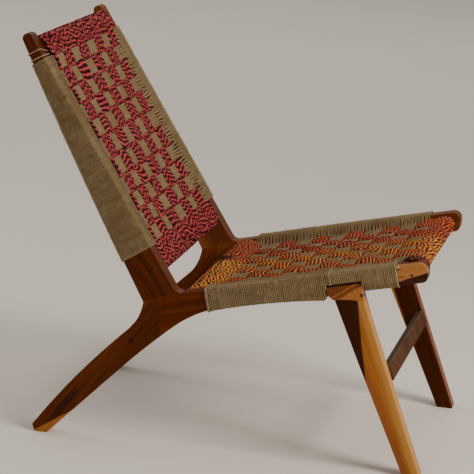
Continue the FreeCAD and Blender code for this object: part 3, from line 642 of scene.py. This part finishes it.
def mat_jute(name, base, light, dark, tones=0.20):
    k = Net(name)
    uv = k.node("ShaderNodeUVMap", uv_map="strand").outputs[0]
    sep = k.node("ShaderNodeSeparateXYZ")
    k.put(sep.inputs[0], uv)
    obj = k.node("ShaderNodeTexCoord").outputs["Object"]
    tone = k.node("ShaderNodeAttribute", attribute_name="tone").outputs["Fac"]
    fr = k.math("FRACT", k.math("ADD", sep.outputs[0], k.math("ADD", sep.outputs[1], k.math("MULTIPLY", k.noise(obj, 300.0, 2.0), 0.25))))
    twist = k.scalar(k.ramp(fr, [(0.0, 0.0), (0.22, 0.85), (0.5, 1.0), (0.78, 0.85), (1.0, 0.0)]))
    fib = k.noise(k.xyz(k.math("MULTIPLY", k.math("SUBTRACT", sep.outputs[0], sep.outputs[1]), 1.4),
                        k.math("MULTIPLY", k.math("ADD", sep.outputs[0], sep.outputs[1]), 9.0), k.math("MULTIPLY", tone, 20.0)), 1.0, 4.0, 0.65)
    patch = k.noise(obj, 17.0, 4.0, 0.62)
    blot = k.noise(obj, 85.0, 3.0, 0.7, 0.6)
    speck = k.noise(obj, 330.0, 2.0, 0.6)
    c = k.mix(k.map(fib, 0.30, 0.72), dark, light)
    c = k.mix(0.45, c, base)
    c = k.mix(k.map(patch, 0.44, 0.66, 0.0, 0.55), c, (0.72 * base[0], 0.60 * base[1], 0.46 * base[2]), "MIX")
    c = k.mix(k.map(blot, 0.50, 0.72, 0.0, 0.55), c, (0.58 * base[0], 0.50 * base[1], 0.42 * base[2]), "MIX")
    c = k.mix(k.map(blot, 0.46, 0.30, 0.0, 0.40), c, light, "MIX")
    c = k.mix(k.map(speck, 0.55, 0.75, 0.0, 0.45), c, tuple(0.50 * x for x in base), "MIX")
    c = k.mix(k.map(tone, 0.0, 1.0, 0.0, tones), c, tuple(0.55 * x for x in base), "MIX")
    c = k.mix(k.map(tone, 0.88, 1.0, 0.0, tones), c, light, "MIX")
    # painted shade: the grooves of the twist are darkened
    c = k.mix(k.map(twist, 0.0, 0.8, 0.48, 0.0), c, tuple(0.28 * x for x in base), "MIX")
    k.set(Base_Color=c, Roughness=k.map(fib, 0.2, 0.8, 0.86, 0.97), Specular_IOR_Level=0.2,
          Normal=k.bump(k.math("ADD", twist, k.math("MULTIPLY", fib, 0.55)), 0.0007, 1.0))
    return k.m


def mat_wood(name, axis, stops, seed=0.0, rough=(0.30, 0.46), ring=46.0, extra=None, pith=(0.0, 0.0), streak=1.0, coat=0.08, spec=0.10, edge_wear_and_highlight=0.13, top=None):
    """Hardwood with its grain along axis (y, z). extra adds sapwood, painted shade, knots and marks: a list of (kind,
    numbers, colour).
    """
    k = Net(name)
    obj = k.node("ShaderNodeTexCoord").outputs["Object"]
    ay, az = axis
    L = math.hypot(ay, az)
    ay, az = ay / L, az / L
    along = k.dot(obj, (0.0, ay, az))
    across = k.dot(obj, (0.0, az, -ay))
    xx = k.dot(obj, (1.0, 0.0, 0.0))
    warpn = k.noise(k.xyz(k.math("ADD", k.math("MULTIPLY", across, 9.0), seed), k.math("MULTIPLY", xx, 9.0), k.math("MULTIPLY", along, 3.2)), 1.0, 2.0, 0.5)
    a2 = k.math("ADD", across, k.math("MULTIPLY", k.math("SUBTRACT", warpn, 0.5), 0.030))
    knot_mask = None
    for kind, nums, colr in (extra or []):
        if kind != "knot":
            continue
        ky, kz, kr = nums
        dy = k.math("SUBTRACT", k.dot(obj, (0.0, 1.0, 0.0)), ky)
        dz = k.math("SUBTRACT", k.dot(obj, (0.0, 0.0, 1.0)), kz)
        al = k.math("ADD", k.math("MULTIPLY", dy, ay), k.math("MULTIPLY", dz, az))
        ac = k.math("SUBTRACT", k.math("MULTIPLY", dy, az), k.math("MULTIPLY", dz, ay))
        rr = k.math("SQRT", k.math("ADD", k.math("POWER", k.math("MULTIPLY", al, 0.62), 2.0), k.math("POWER", ac, 2.0)))
        fall = k.math("DIVIDE", kr * kr, k.math("ADD", k.math("POWER", rr, 2.0), kr * kr))
        a2 = k.math("ADD", a2, k.math("MULTIPLY", k.math("MULTIPLY", ac, fall), -0.85))
        core = k.map(rr, kr * 0.95, kr * 0.25, 0.0, 1.0)
        knot_mask = core if knot_mask is None else k.math("MAXIMUM", knot_mask, core)
    x2 = k.math("SUBTRACT", xx, pith[1])
    r = k.math("SQRT", k.math("ADD", k.math("POWER", k.math("SUBTRACT", a2, pith[0]), 2.0), k.math("POWER", k.math("MULTIPLY", x2, 0.8), 2.0)))
    bands = k.noise(k.math("ADD", k.math("MULTIPLY", r, ring), k.math("ADD", seed, k.math("MULTIPLY", along, 1.3))), 2.2, 4.0, 0.62, dims="1D")
    grain = k.noise(k.xyz(k.math("MULTIPLY", a2, 300.0), k.math("MULTIPLY", xx, 300.0), k.math("MULTIPLY", along, 9.0)), 1.0, 4.0, 0.62)
    pores = k.noise(k.xyz(k.math("MULTIPLY", across, 1500.0), k.math("MULTIPLY", xx, 1500.0), k.math("MULTIPLY", along, 85.0)), 1.0, 2.0, 0.5)
    big = k.noise(k.xyz(k.math("MULTIPLY", across, 14.0), k.math("MULTIPLY", xx, 14.0), k.math("ADD", k.math("MULTIPLY", along, 3.0), seed)), 1.0, 3.0, 0.5)
    v = k.math("ADD", k.math("MULTIPLY", bands, 0.34 * streak), k.math("ADD", k.math("MULTIPLY", grain, 0.30), k.math("MULTIPLY", big, 0.56)))
    v = k.map(v, 0.30, 0.98)
    c = k.ramp(v, stops)
    streaks = k.noise(k.xyz(k.math("MULTIPLY", a2, 120.0), k.math("MULTIPLY", xx, 120.0), k.math("ADD", k.math("MULTIPLY", along, 4.0), seed)), 1.0, 3.0, 0.6)
    c = k.mix(k.map(streaks, 0.58, 0.78, 0.0, 0.50), c, tuple(0.50 * q for q in stops[0][1]))
    c = k.mix(k.map(pores, 0.60, 0.76, 0.0, 0.45), c, tuple(0.40 * q for q in stops[0][1]))
    for kind, nums, colr in (extra or []):
        if kind == "colour_past_line":                 # a colour past a line, sapwood on most pieces and painted shade on dark facets: (ny, nz, offset, softness)
            ny, nz, offv, soft = nums[:4]
            d = k.math("SUBTRACT", k.dot(obj, (0.0, ny, nz)), offv)
            d = k.math("ADD", d, k.math("MULTIPLY", k.math("SUBTRACT", warpn, 0.5), 0.016))
            d = k.math("ADD", d, k.math("MULTIPLY", k.math("SUBTRACT", grain, 0.5), 0.004))
            if len(nums) > 4:         # only in the outer skin of the piece
                d = k.math("MINIMUM", d, k.math("MULTIPLY", k.math("SUBTRACT", nums[4], xx), 2.0))
            colour_past_line = k.mix(v, tuple(0.62 * q for q in colr), colr)
            colour_past_line = k.mix(k.map(pores, 0.60, 0.76, 0.0, 0.5), colour_past_line, tuple(0.25 * q for q in colr))
            c = k.mix(k.map(d, -soft, soft), c, colour_past_line)
        if kind == "band":                # a streak between two offsets: (ny, nz, lo, hi, softness)
            ny, nz, lo, hi, soft = nums
            d = k.math("ADD", k.dot(obj, (0.0, ny, nz)), k.math("MULTIPLY", k.math("SUBTRACT", warpn, 0.5), 0.012))
            d = k.math("ADD", d, k.math("MULTIPLY", k.math("SUBTRACT", grain, 0.5), 0.003))
            m1 = k.math("MULTIPLY", k.map(d, lo - soft, lo + soft), k.map(d, hi + soft, hi - soft))
            c = k.mix(k.math("MULTIPLY", m1, 0.9), c, k.mix(v, tuple(0.6 * q for q in colr), colr))
        if kind == "spot":                # a stain: (y, z, radius along, radius across, strength)
            py, pz, ra, rb, st = nums
            dy = k.math("SUBTRACT", k.dot(obj, (0.0, 1.0, 0.0)), py)
            dz = k.math("SUBTRACT", k.dot(obj, (0.0, 0.0, 1.0)), pz)
            al = k.math("DIVIDE", k.math("ADD", k.math("MULTIPLY", dy, ay), k.math("MULTIPLY", dz, az)), ra)
            ac = k.math("DIVIDE", k.math("SUBTRACT", k.math("MULTIPLY", dy, az), k.math("MULTIPLY", dz, ay)), rb)
            rr = k.math("SQRT", k.math("ADD", k.math("POWER", al, 2.0), k.math("POWER", ac, 2.0)))
            rr = k.math("ADD", rr, k.math("MULTIPLY", k.math("SUBTRACT", grain, 0.5), 0.7))
            c = k.mix(k.map(rr, 1.0, 0.45, 0.0, st), c, colr)
    if knot_mask is not None:
        c = k.mix(k.math("MULTIPLY", knot_mask, 0.85), c, (0.012, 0.005, 0.003))
    # lighter arrises, partly rubbed wear and partly a painted highlight: the bevel normal turns away from the true one
    # near an arris
    geo = k.node("ShaderNodeNewGeometry")
    bev = k.node("ShaderNodeBevel", samples=4)
    bev.inputs["Radius"].default_value = 0.0022
    dt = k.node("ShaderNodeVectorMath", operation="DOT_PRODUCT")
    k.put(dt.inputs[0], bev.outputs[0])
    k.put(dt.inputs[1], geo.outputs["True Normal"])
    edge = k.math("MULTIPLY", k.map(dt.outputs["Value"], 0.985, 0.80, 0.0, 1.0), k.map(big, 0.35, 0.6, 0.35, 1.0))
    c = k.mix(k.math("MULTIPLY", edge, edge_wear_and_highlight), c, tuple(min(1.0, 1.4 * q + 0.02) for q in stops[-1][1]))
    h = k.math("ADD", k.math("MULTIPLY", grain, 0.5), k.math("MULTIPLY", k.map(pores, 0.58, 0.74, 1.0, 0.0), 0.7))
    ro = k.math("ADD", k.map(grain, 0.2, 0.8, rough[0], rough[1]), k.math("MULTIPLY", k.map(pores, 0.6, 0.75), 0.18))
    if top is not None:               # painted light: another tone on the faces that look up: (colour, from, to)
        up = k.node("ShaderNodeSeparateXYZ")
        k.put(up.inputs[0], geo.outputs["True Normal"])
        c = k.mix(k.math("MULTIPLY", k.map(up.outputs[2], top[1], top[2]), k.map(big, 0.30, 0.65, 0.55, 0.95)), c, top[0])
    k.set(Base_Color=c, Roughness=ro, Specular_IOR_Level=spec, Specular_Tint=(1.0, 0.76, 0.50), Coat_Weight=coat, Coat_Roughness=0.12, Normal=k.bump(h, 0.00018, 0.7))
    return k.m


def mat_steel(name):
    k = Net(name)
    obj = k.node("ShaderNodeTexCoord").outputs["Object"]
    n1 = k.noise(obj, 900.0, 3.0)
    n2 = k.noise(obj, 160.0, 4.0, 0.7)
    c = k.mix(k.map(n2, 0.45, 0.72), (0.30, 0.285, 0.27), (0.11, 0.065, 0.045))
    k.set(Base_Color=c, Metallic=k.map(n2, 0.45, 0.72, 1.0, 0.45), Roughness=k.map(n1, 0.3, 0.7, 0.34, 0.62), Normal=k.bump(n1, 0.0001, 0.6))
    return k.m


def mat_floor(name):
    k = Net(name)
    obj = k.node("ShaderNodeTexCoord").outputs["Object"]
    n1 = k.noise(obj, 1.2, 4.0)
    n2 = k.noise(obj, 60.0, 3.0)
    c = k.mix(n1, (0.70, 0.672, 0.640), (0.76, 0.732, 0.700))
    k.set(Base_Color=c, Roughness=k.map(n2, 0.3, 0.7, 0.62, 0.75), Specular_IOR_Level=0.25)
    return k.m


# ---------------------------------------------------------------- materials
M_PINK = mat_cord("pink_cord_twist", (0.026, 0.003, 0.004), 0.46, (0.72, 0.28, 0.27))
M_SEAT = mat_cord("orange_cord_twist", (0.042, 0.006, 0.004), 0.46, (0.92, 0.52, 0.30))
M_JUTE = mat_jute("jute_twine", (0.265, 0.190, 0.095), (0.46, 0.355, 0.195), (0.100, 0.060, 0.024))
# painted shade: a darker copy of the jute for the seat's front layer, which lies deeper between the cords
M_SEAT_JUTE_SHADED = mat_jute("seat_jute_twine_shaded", (0.215, 0.148, 0.072), (0.38, 0.285, 0.155), (0.080, 0.045, 0.018))
M_END = mat_jute("jute_end_twine", (0.40, 0.32, 0.20), (0.56, 0.46, 0.31), (0.17, 0.115, 0.06), tones=0.10)

RED = [(0.0, (0.034, 0.0052, 0.0007)), (0.35, (0.082, 0.0150, 0.0012)), (0.75, (0.145, 0.0310, 0.0024)), (1.0, (0.235, 0.060, 0.0065))]
WARM = [(0.0, (0.052, 0.011, 0.0026)), (0.40, (0.118, 0.029, 0.006)), (0.75, (0.195, 0.056, 0.012)), (1.0, (0.29, 0.098, 0.022))]
HONEY = [(0.0, (0.108, 0.028, 0.006)), (0.35, (0.23, 0.071, 0.013)), (0.75, (0.37, 0.134, 0.027)), (1.0, (0.53, 0.228, 0.052))]
DULL = [(0.0, (0.034, 0.010, 0.004)), (0.45, (0.070, 0.025, 0.010)), (1.0, (0.125, 0.054, 0.024))]
# a darker copy of RED: painted shade for the far front leg's side faces
RED_PAINTED_SHADE = [(a, tuple(0.40 * q for q in c)) for a, c in RED]
HEAD_A, HEAD_B = (169.2, 330.0), (121.6, 362.0)
GOLD = (0.49, 0.210, 0.062)
# a dark wood colour laid on faces that turn from the light: painted shade, with darker wood on the front leg's rear
# facet
DARK_PAINTED_SHADE = (0.052, 0.0110, 0.0016)


def paint(node, material):
    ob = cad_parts[node]
    if len(ob.material_slots) == 0:
        ob.data.materials.append(material)
    for sl in ob.material_slots:
        sl.material = material


post_axis = (PD[0], PD[1])
rear_leg_axis = (720 - 520.0, 20 - 290.0)
rail_axis = (-0.9717, 0.2361)
leg_axis = (0.3765, 0.9264)
y_of = lambda s: (s - MID) / 1000.0
# the line across the leg's head where golden wood below meets redder wood above: normal (y, z) and offset
_ha, _hb = np.array([y_of(HEAD_A[0]), HEAD_A[1] / 1000.0]), np.array([y_of(HEAD_B[0]), HEAD_B[1] / 1000.0])
_hn = np.array([-(_hb - _ha)[1], (_hb - _ha)[0]])
_hn = _hn / np.linalg.norm(_hn) * (1.0 if _hn[1] > 0 else -1.0)
HEAD_N = (float(_hn[0]), float(_hn[1]), float(_hn @ _ha))

# the near post gets a stronger painted highlight along its arrises
paint("right_back_post", mat_wood("wood_right_post", post_axis, RED, 1.3, pith=(0.02, -0.33), edge_wear_and_highlight=0.34))
paint("left_back_post", mat_wood("wood_left_post", post_axis, WARM, 5.1, pith=(-0.04, 0.20)))
# the near rear leg gets a stronger painted highlight along its arrises
paint("right_rear_leg", mat_wood("wood_right_rear_leg", rear_leg_axis, RED, 9.7, pith=(0.0, -0.30), edge_wear_and_highlight=0.34,
      extra=[("knot", (y_of(557.7), 0.2046, 0.0058), None), ("spot", (y_of(540.9), 0.2272, 0.022, 0.0016, 0.8), (0.010, 0.003, 0.001)),
             ("spot", (y_of(614.6), 0.1226, 0.026, 0.0014, 0.8), (0.010, 0.003, 0.001)),
             ("spot", (y_of(671.3), 0.0552, 0.020, 0.0014, 0.8), (0.010, 0.003, 0.001)),
             ("spot", (y_of(686.0), 0.0600, 0.060, 0.0105, 0.75), (0.026, 0.0035, 0.0015)),
             ("colour_past_line", (-0.527, -0.849, -0.1872, 0.0013), (0.46, 0.160, 0.036))]))
paint("left_rear_leg", mat_wood("wood_left_rear_leg", rear_leg_axis, RED, 13.2, pith=(0.05, 0.33)))
paint("right_seat_rail", mat_wood("wood_right_rail", rail_axis, RED, 17.9, pith=(0.36, -0.35), coat=0.05, spec=0.05,
      extra=[("colour_past_line", (-0.9717, 0.2361, 0.9717 * 0.300 + 0.2361 * 0.395, 0.010, -0.268), GOLD),
             ("band", (-0.2361, -0.9717, -0.3290, -0.3215, 0.0016), (0.26, 0.085, 0.020)),
             # painted shade on the rail's lower chamfer in front of the leg
             ("colour_past_line", (-0.4119, -0.9112, -0.20162, 0.0010), DARK_PAINTED_SHADE),
             ("spot", (y_of(46.7), 0.3872, 0.0085, 0.0011, 0.95), (0.010, 0.003, 0.001)),
             ("spot", (y_of(62.0), 0.3980, 0.020, 0.0022, 0.8), (0.045, 0.012, 0.002))]))
paint("left_seat_rail", mat_wood("wood_left_rail", rail_axis, WARM, 21.4, pith=(0.40, 0.33)))
paint("right_front_leg", mat_wood("wood_right_front_leg", leg_axis, HONEY, 25.8, pith=(-0.30, -0.33), streak=1.1, spec=0.08,
      extra=[("colour_past_line", (-0.9280, 0.3725, 0.3699, 0.0090), (0.54, 0.255, 0.060)),
             ("colour_past_line", (0.9019, -0.4320, -0.3515, 0.0080), (0.35, 0.106, 0.028)),
             # darker wood and painted shade on the leg's rear bevel facet, which faces away from the light
             ("colour_past_line", (0.98445, -0.17553, -0.32058, 0.0012), DARK_PAINTED_SHADE),
             ("colour_past_line", (0.0, 1.0, 0.3338, 0.0012), (0.46, 0.173, 0.045)),
             ("colour_past_line", (HEAD_N[0], HEAD_N[1], HEAD_N[2], 0.0022), (0.20, 0.058, 0.018)),
             ("band", (HEAD_N[0], HEAD_N[1], HEAD_N[2] + 0.0060, HEAD_N[2] + 0.0095, 0.0014), (0.40, 0.143, 0.038)),
             ("spot", (y_of(118.0), 0.3432, 0.0055, 0.0034, 0.95), (0.012, 0.004, 0.001))]))
# painted light and shade: the far front leg uses a darker copy of the red wood for its shaded side, and a painted lit
# tone on its upward front faces
paint("left_front_leg", mat_wood("wood_left_front_leg", leg_axis, RED_PAINTED_SHADE, 31.1, pith=(-0.28, 0.33), coat=0.04, spec=0.10,
      extra=[("colour_past_line", (0.91680, -0.39938, -0.34232, 0.0015), (0.46, 0.165, 0.026))], top=((0.165, 0.034, 0.010), 0.15, 0.35)))
m_cross = mat_wood("wood_cross_rails", (0.0, 1.0), RED, 3.3)
for n in ("back_top_rail", "back_lower_rail", "seat_front_rail", "seat_rear_rail"):
    paint(n, m_cross)
# painted reflection: a pale greyish tone on the stretcher's top face, for the bright surroundings it mirrors
paint("front_stretcher", mat_wood("wood_stretcher", (0.0, 1.0), DULL, 41.0, rough=(0.50, 0.66), coat=0.02, spec=0.04, top=((0.130, 0.098, 0.080), 0.60, 0.90)))
m_dowel = mat_wood("wood_dowel", (0.0, 1.0), [(0.0, (0.20, 0.11, 0.05)), (1.0, (0.52, 0.36, 0.20))], 2.0)
for n in ("right_stretcher_tenon", "left_stretcher_tenon", "right_frame_dowels", "left_frame_dowels", "right_leg_dowels", "left_leg_dowels"):
    paint(n, m_dowel)
paint("cross_rail_screws", mat_steel("dulled_steel"))

# ---------------------------------------------------------------- weave
warp(BACK, BACK_ROWS, BACK_COLS, BACK_SIGN, BACK_COUNT, ("back_cord_right", "back_cord_left"), "back_coloured_cord",
     "pink_cord", M_PINK, cord_colour_back, 3, (18.0, 466.0))
warp(SEAT, SEAT_ROWS, SEAT_COLS, SEAT_SIGN, SEAT_COUNT, ("seat_cord_right", "seat_cord_left"), "seat_coloured_cord",
     "orange_cord", M_SEAT, cord_colour_seat, 11, (20.0, 428.0), pitch=7.3)

rngl = np.random.default_rng(5)
back_loops = loops_of(BACK_ROWS, 89.0 - 54.9, 505.0 - 54.9, 3.7, 0.80, rngl)
jute_turns(BACK, back_loops, BACK_ROWS, BACK_COLS, BACK_SIGN, "back",
           ("back_jute_front", "back_jute_rear", "back_jute_left_wrap", "back_jute_right_wrap"),
           ("back_front_jute", "back_rear_jute", "left_back_jute_wrap", "right_back_jute_wrap"), M_JUTE, 21, back_side)
seat_rows_ext = np.concatenate([[_st(421.0)], SEAT_ROWS])
seat_loops = [(k, a, b) for k, a, b in loops_of(SEAT_ROWS, _st(415.0), _st(60.0), 3.7, 0.82, rngl)]
seat_loops = [(0, _st(421.0) + 1.95 + 3.9 * j, _st(402.0) + 1.5 + 0.35 * j) for j in range(5)] + seat_loops
jute_turns(SEAT, seat_loops, SEAT_ROWS, SEAT_COLS, SEAT_SIGN, "seat",
           ("seat_jute_top", "seat_jute_under", "seat_jute_left_wrap", "seat_jute_right_wrap"),
           ("seat_top_jute", "seat_under_jute", "left_seat_jute_wrap", "right_seat_jute_wrap"), M_JUTE, 22, seat_side)

# ---------------------------------------------------------------- loose turns, end cords and stray fibres
def ring_post(us, r, lift):
    """A turn round the right-hand post: us gives its height along the post at eight places round it."""
    w = depth(("right_back_post",), *post(float(np.mean(us)), 0.0), PD[1], -PD[0], far=75.0)
    g = r + lift
    pts = round_path([(-XI, -g), (-XO - g, -g), (-XO - g, w + g), (-XI + g, w + g), (-XI + g, -g), (-XI, -g)], [g + 2.6] * 4, 5)
    d = np.concatenate([[0.0], np.cumsum(np.linalg.norm(np.diff(pts, axis=0), axis=1))])
    u = np.interp(d / d[-1], np.linspace(0, 1, len(us)), us)
    sv = np.array([post(a, b) for a, b in zip(u, pts[:, 1])])
    return to_m(pts[:, 0], sv[:, 0], sv[:, 1])


loose = Tubes()
for us, r, lift, tone in (([514.5, 519.5, 522.5, 525.0, 521.0, 514.0, 513.5, 514.5], 1.05, 0.2, 0.1),
                          ([507.6, 507.9, 508.8, 510.4, 508.8, 507.8, 507.5, 507.6], 1.3, 0.3, 0.3)):
    P = ring_post(us, r, lift)
    Lc = length_of(P) * 1000
    loose.add(P, r / 1000, (0.0, PD[0], PD[1]), sides=8, u=Lc / 3.4, tone=tone)
for s0, tone in ((61.0, 0.0), (417.5, 0.05), (183.0, 0.2)):
    for sx in (-1, 1):
        g = JUTE + 1.2
        dpt = depth(("right_seat_rail",), s0, rail_top(s0), *SEAT_DOWN, far=80.0)
        cut = 12.0 if s0 < 114.0 else 0.0
        pts = [(XI - 1.0, -g), (XO + g, -g), (XO + g, dpt + g - cut), (XO + g - cut, dpt + g), (XI - 1.0, dpt + g)]
        pts = round_path(pts, [g + 3.0, g + 3.0, g + 3.0], 5)
        S = s0 + SEAT_DOWN[0] * pts[:, 1] - (1.6 if s0 < 114 else 0.0) * np.sin(np.linspace(0, math.pi, len(pts)))
        Z = rail_top(s0) + SEAT_DOWN[1] * pts[:, 1]
        P = to_m(sx * pts[:, 0], S, Z)
        loose.add(P, 1.15 / 1000, (0.0, -0.9717, 0.2361), sides=8, u=length_of(P) * 1000 / 3.4, tone=tone)
# the little loop that ties off the near wrap at its front end
a = np.linspace(0.0, 1.0, 26)
P = to_m(-XO - 4.4 + 7.0 * a, 60.5 - 6.5 * np.sin(a * math.pi) - 3.0 * a, rail_top(61.0) + 1.0 - 11.0 * np.sin(a * math.pi * 0.5) * (1 - a) + 3.4 * a)
loose.add(P, 1.4 / 1000, (1.0, 0.0, 0.0), sides=8, u=length_of(P) * 1000 / 3.4, tone=0.0)
loose.build("jute_end_turns", M_END, (), "jute")

fuzz = Tubes()
rf = np.random.default_rng(77)
for k in range(2600):
    L1 = rf.uniform(3.0, 9.0)
    side = rf.choice([-1, 1])
    if rf.random() < 0.62:
        u = rf.uniform(92.0, 503.0)
        w = np.interp(u, [93, 151, 232, 289, 356, 465, 508], [61.2, 57.0, 51.8, 46.6, 39.6, 27.4, 23.4])
        e = rf.random()
        if e < 0.55:
            q, out = (XO + 3.2, rf.uniform(-1.0, w + 1.0)), (1.0, 0.0)
        elif e < 0.80:
            q, out = (rf.uniform(XI, XO), w + 3.2), (0.0, 1.0)
        else:
            q, out = (rf.uniform(XI, XO), -3.2), (0.0, -1.0)
        o = np.array([q[0] * side, *post(u, q[1])])
        nrm = np.array([out[0] * side, out[1] * PD[1], -out[1] * PD[0]])
        tan = np.array([0.0, PD[0], PD[1]]) * rf.choice([-1, 1]) + np.array([0.0, PD[1], -PD[0]]) * rf.normal(0, 0.9)
    else:
        s0 = rf.uniform(182.0, 419.0)
        e = rf.random()
        if e < 0.6:
            dd = rf.uniform(0.0, 40.0)
            q, nrm = (XO + 3.2, dd), np.array([side, 0.0, 0.0])
        else:
            q, nrm = (rf.uniform(XI, XO), -3.2), np.array([0.0, 0.2361, 0.9717])
        o = np.array([q[0] * side, s0 + SEAT_DOWN[0] * q[1], rail_top(s0) + SEAT_DOWN[1] * q[1]])
        tan = np.array([0.0, -0.9717, 0.2361]) * rf.choice([-1, 1]) + np.array([0.0, -0.2361, -0.9717]) * rf.normal(0, 0.9)
    tan = tan / np.linalg.norm(tan)
    a = np.linspace(0, 1, 5)[:, None]
    lift = rf.uniform(0.25, 1.0)
    curl = np.cross(nrm, tan)
    p = o - nrm * 1.2 + tan * L1 * a * rf.uniform(0.5, 1.0) + nrm * (lift * L1 * np.sin(a * math.pi * rf.uniform(0.5, 1.0))) * 0.8 + curl * rf.normal(0, 1.0) * a ** 2
    P = to_m(p[:, 0], p[:, 1], p[:, 2])
    fuzz.add(P, np.linspace(0.27, 0.10, 5) / 1000, nrm + 0.01, sides=3, u=np.linspace(0, 2, 5), tone=rf.random())
fuzz.build("jute_stray_fibres", M_JUTE, (), "jute")

# ---------------------------------------------------------------- floor, light, camera
me = bpy.data.meshes.new("floor")
me.from_pydata([(-25, -25, 0), (25, -25, 0), (25, 25, 0), (-25, 25, 0)], [], [(0, 1, 2, 3)])
floor = bpy.data.objects.new("floor", me)
bpy.context.scene.collection.objects.link(floor)
me.materials.append(mat_floor("pale_floor"))

world = bpy.data.worlds.new("studio")
bpy.context.scene.world = world
world.use_nodes = True
bg = world.node_tree.nodes["Background"]
bg.inputs[0].default_value = (1.0, 0.90, 0.79, 1.0)
bg.inputs[1].default_value = 0.30
wt = world.node_tree
seen = wt.nodes.new("ShaderNodeBackground")
seen.inputs[0].default_value = (1.0, 0.955, 0.91, 1.0)
seen.inputs[1].default_value = 1.0
ray = wt.nodes.new("ShaderNodeLightPath")
both = wt.nodes.new("ShaderNodeMixShader")
wt.links.new(ray.outputs["Is Camera Ray"], both.inputs[0])
wt.links.new(bg.outputs[0], both.inputs[1])
wt.links.new(seen.outputs[0], both.inputs[2])
wt.links.new(both.outputs[0], next(n for n in wt.nodes if n.type == "OUTPUT_WORLD").inputs[0])


def area(name, loc, target, size, power, colour):
    li = bpy.data.lights.new(name, "AREA")
    li.shape = "RECTANGLE"
    li.size, li.size_y = size
    li.energy = power
    li.color = colour
    ob = bpy.data.objects.new(name, li)
    bpy.context.scene.collection.objects.link(ob)
    ob.location = loc
    ob.rotation_mode = "QUATERNION"
    ob.rotation_quaternion = (Vector(target) - Vector(loc)).to_track_quat("-Z", "Y")
    return ob


area("key", (-1.2, -2.7, 2.2), (0.0, 0.0, 0.35), (1.5, 1.3), 118.0, (1.0, 0.90, 0.78))
area("fill", (-3.0, 1.6, 1.9), (0.0, 0.1, 0.35), (2.6, 2.0), 7.0, (1.0, 0.93, 0.85))
area("behind", (5.5, 1.5, 3.6), (5.5, 1.5, 0.0), (5.0, 7.0), 120.0, (1.0, 0.925, 0.86))
area("rear", (1.1, 3.0, 1.9), (0.0, 0.2, 0.45), (1.6, 1.2), 22.0, (1.0, 0.93, 0.85))
area("top", (0.2, 0.4, 3.2), (0.0, 0.0, 0.3), (2.4, 2.4), 16.0, (1.0, 0.93, 0.84))

psi, theta, roll, f_px = 0.19282085305, 0.21077361188, 0.06721852056, 2468.3152
loc = Vector((-4.754289578602, -2.061126360448 + 1.550254307807 - 0.392109, 1.406063855883))
fw = Vector((math.cos(psi) * math.cos(theta), math.sin(psi) * math.cos(theta), -math.sin(theta)))
right = fw.cross(Vector((0, 0, 1))).normalized()
up = right.cross(fw)
r2 = math.cos(roll) * right + math.sin(roll) * up
u2 = -math.sin(roll) * right + math.cos(roll) * up
cam_d = bpy.data.cameras.new("camera")
cam_d.sensor_width = 36.0
cam_d.lens = f_px / 474.0 * 36.0
cam_d.clip_start, cam_d.clip_end = 0.05, 200.0
cam = bpy.data.objects.new("camera", cam_d)
bpy.context.scene.collection.objects.link(cam)
cam.matrix_world = Matrix(((r2.x, u2.x, -fw.x, loc.x), (r2.y, u2.y, -fw.y, loc.y), (r2.z, u2.z, -fw.z, loc.z), (0, 0, 0, 1)))
bpy.context.scene.camera = cam
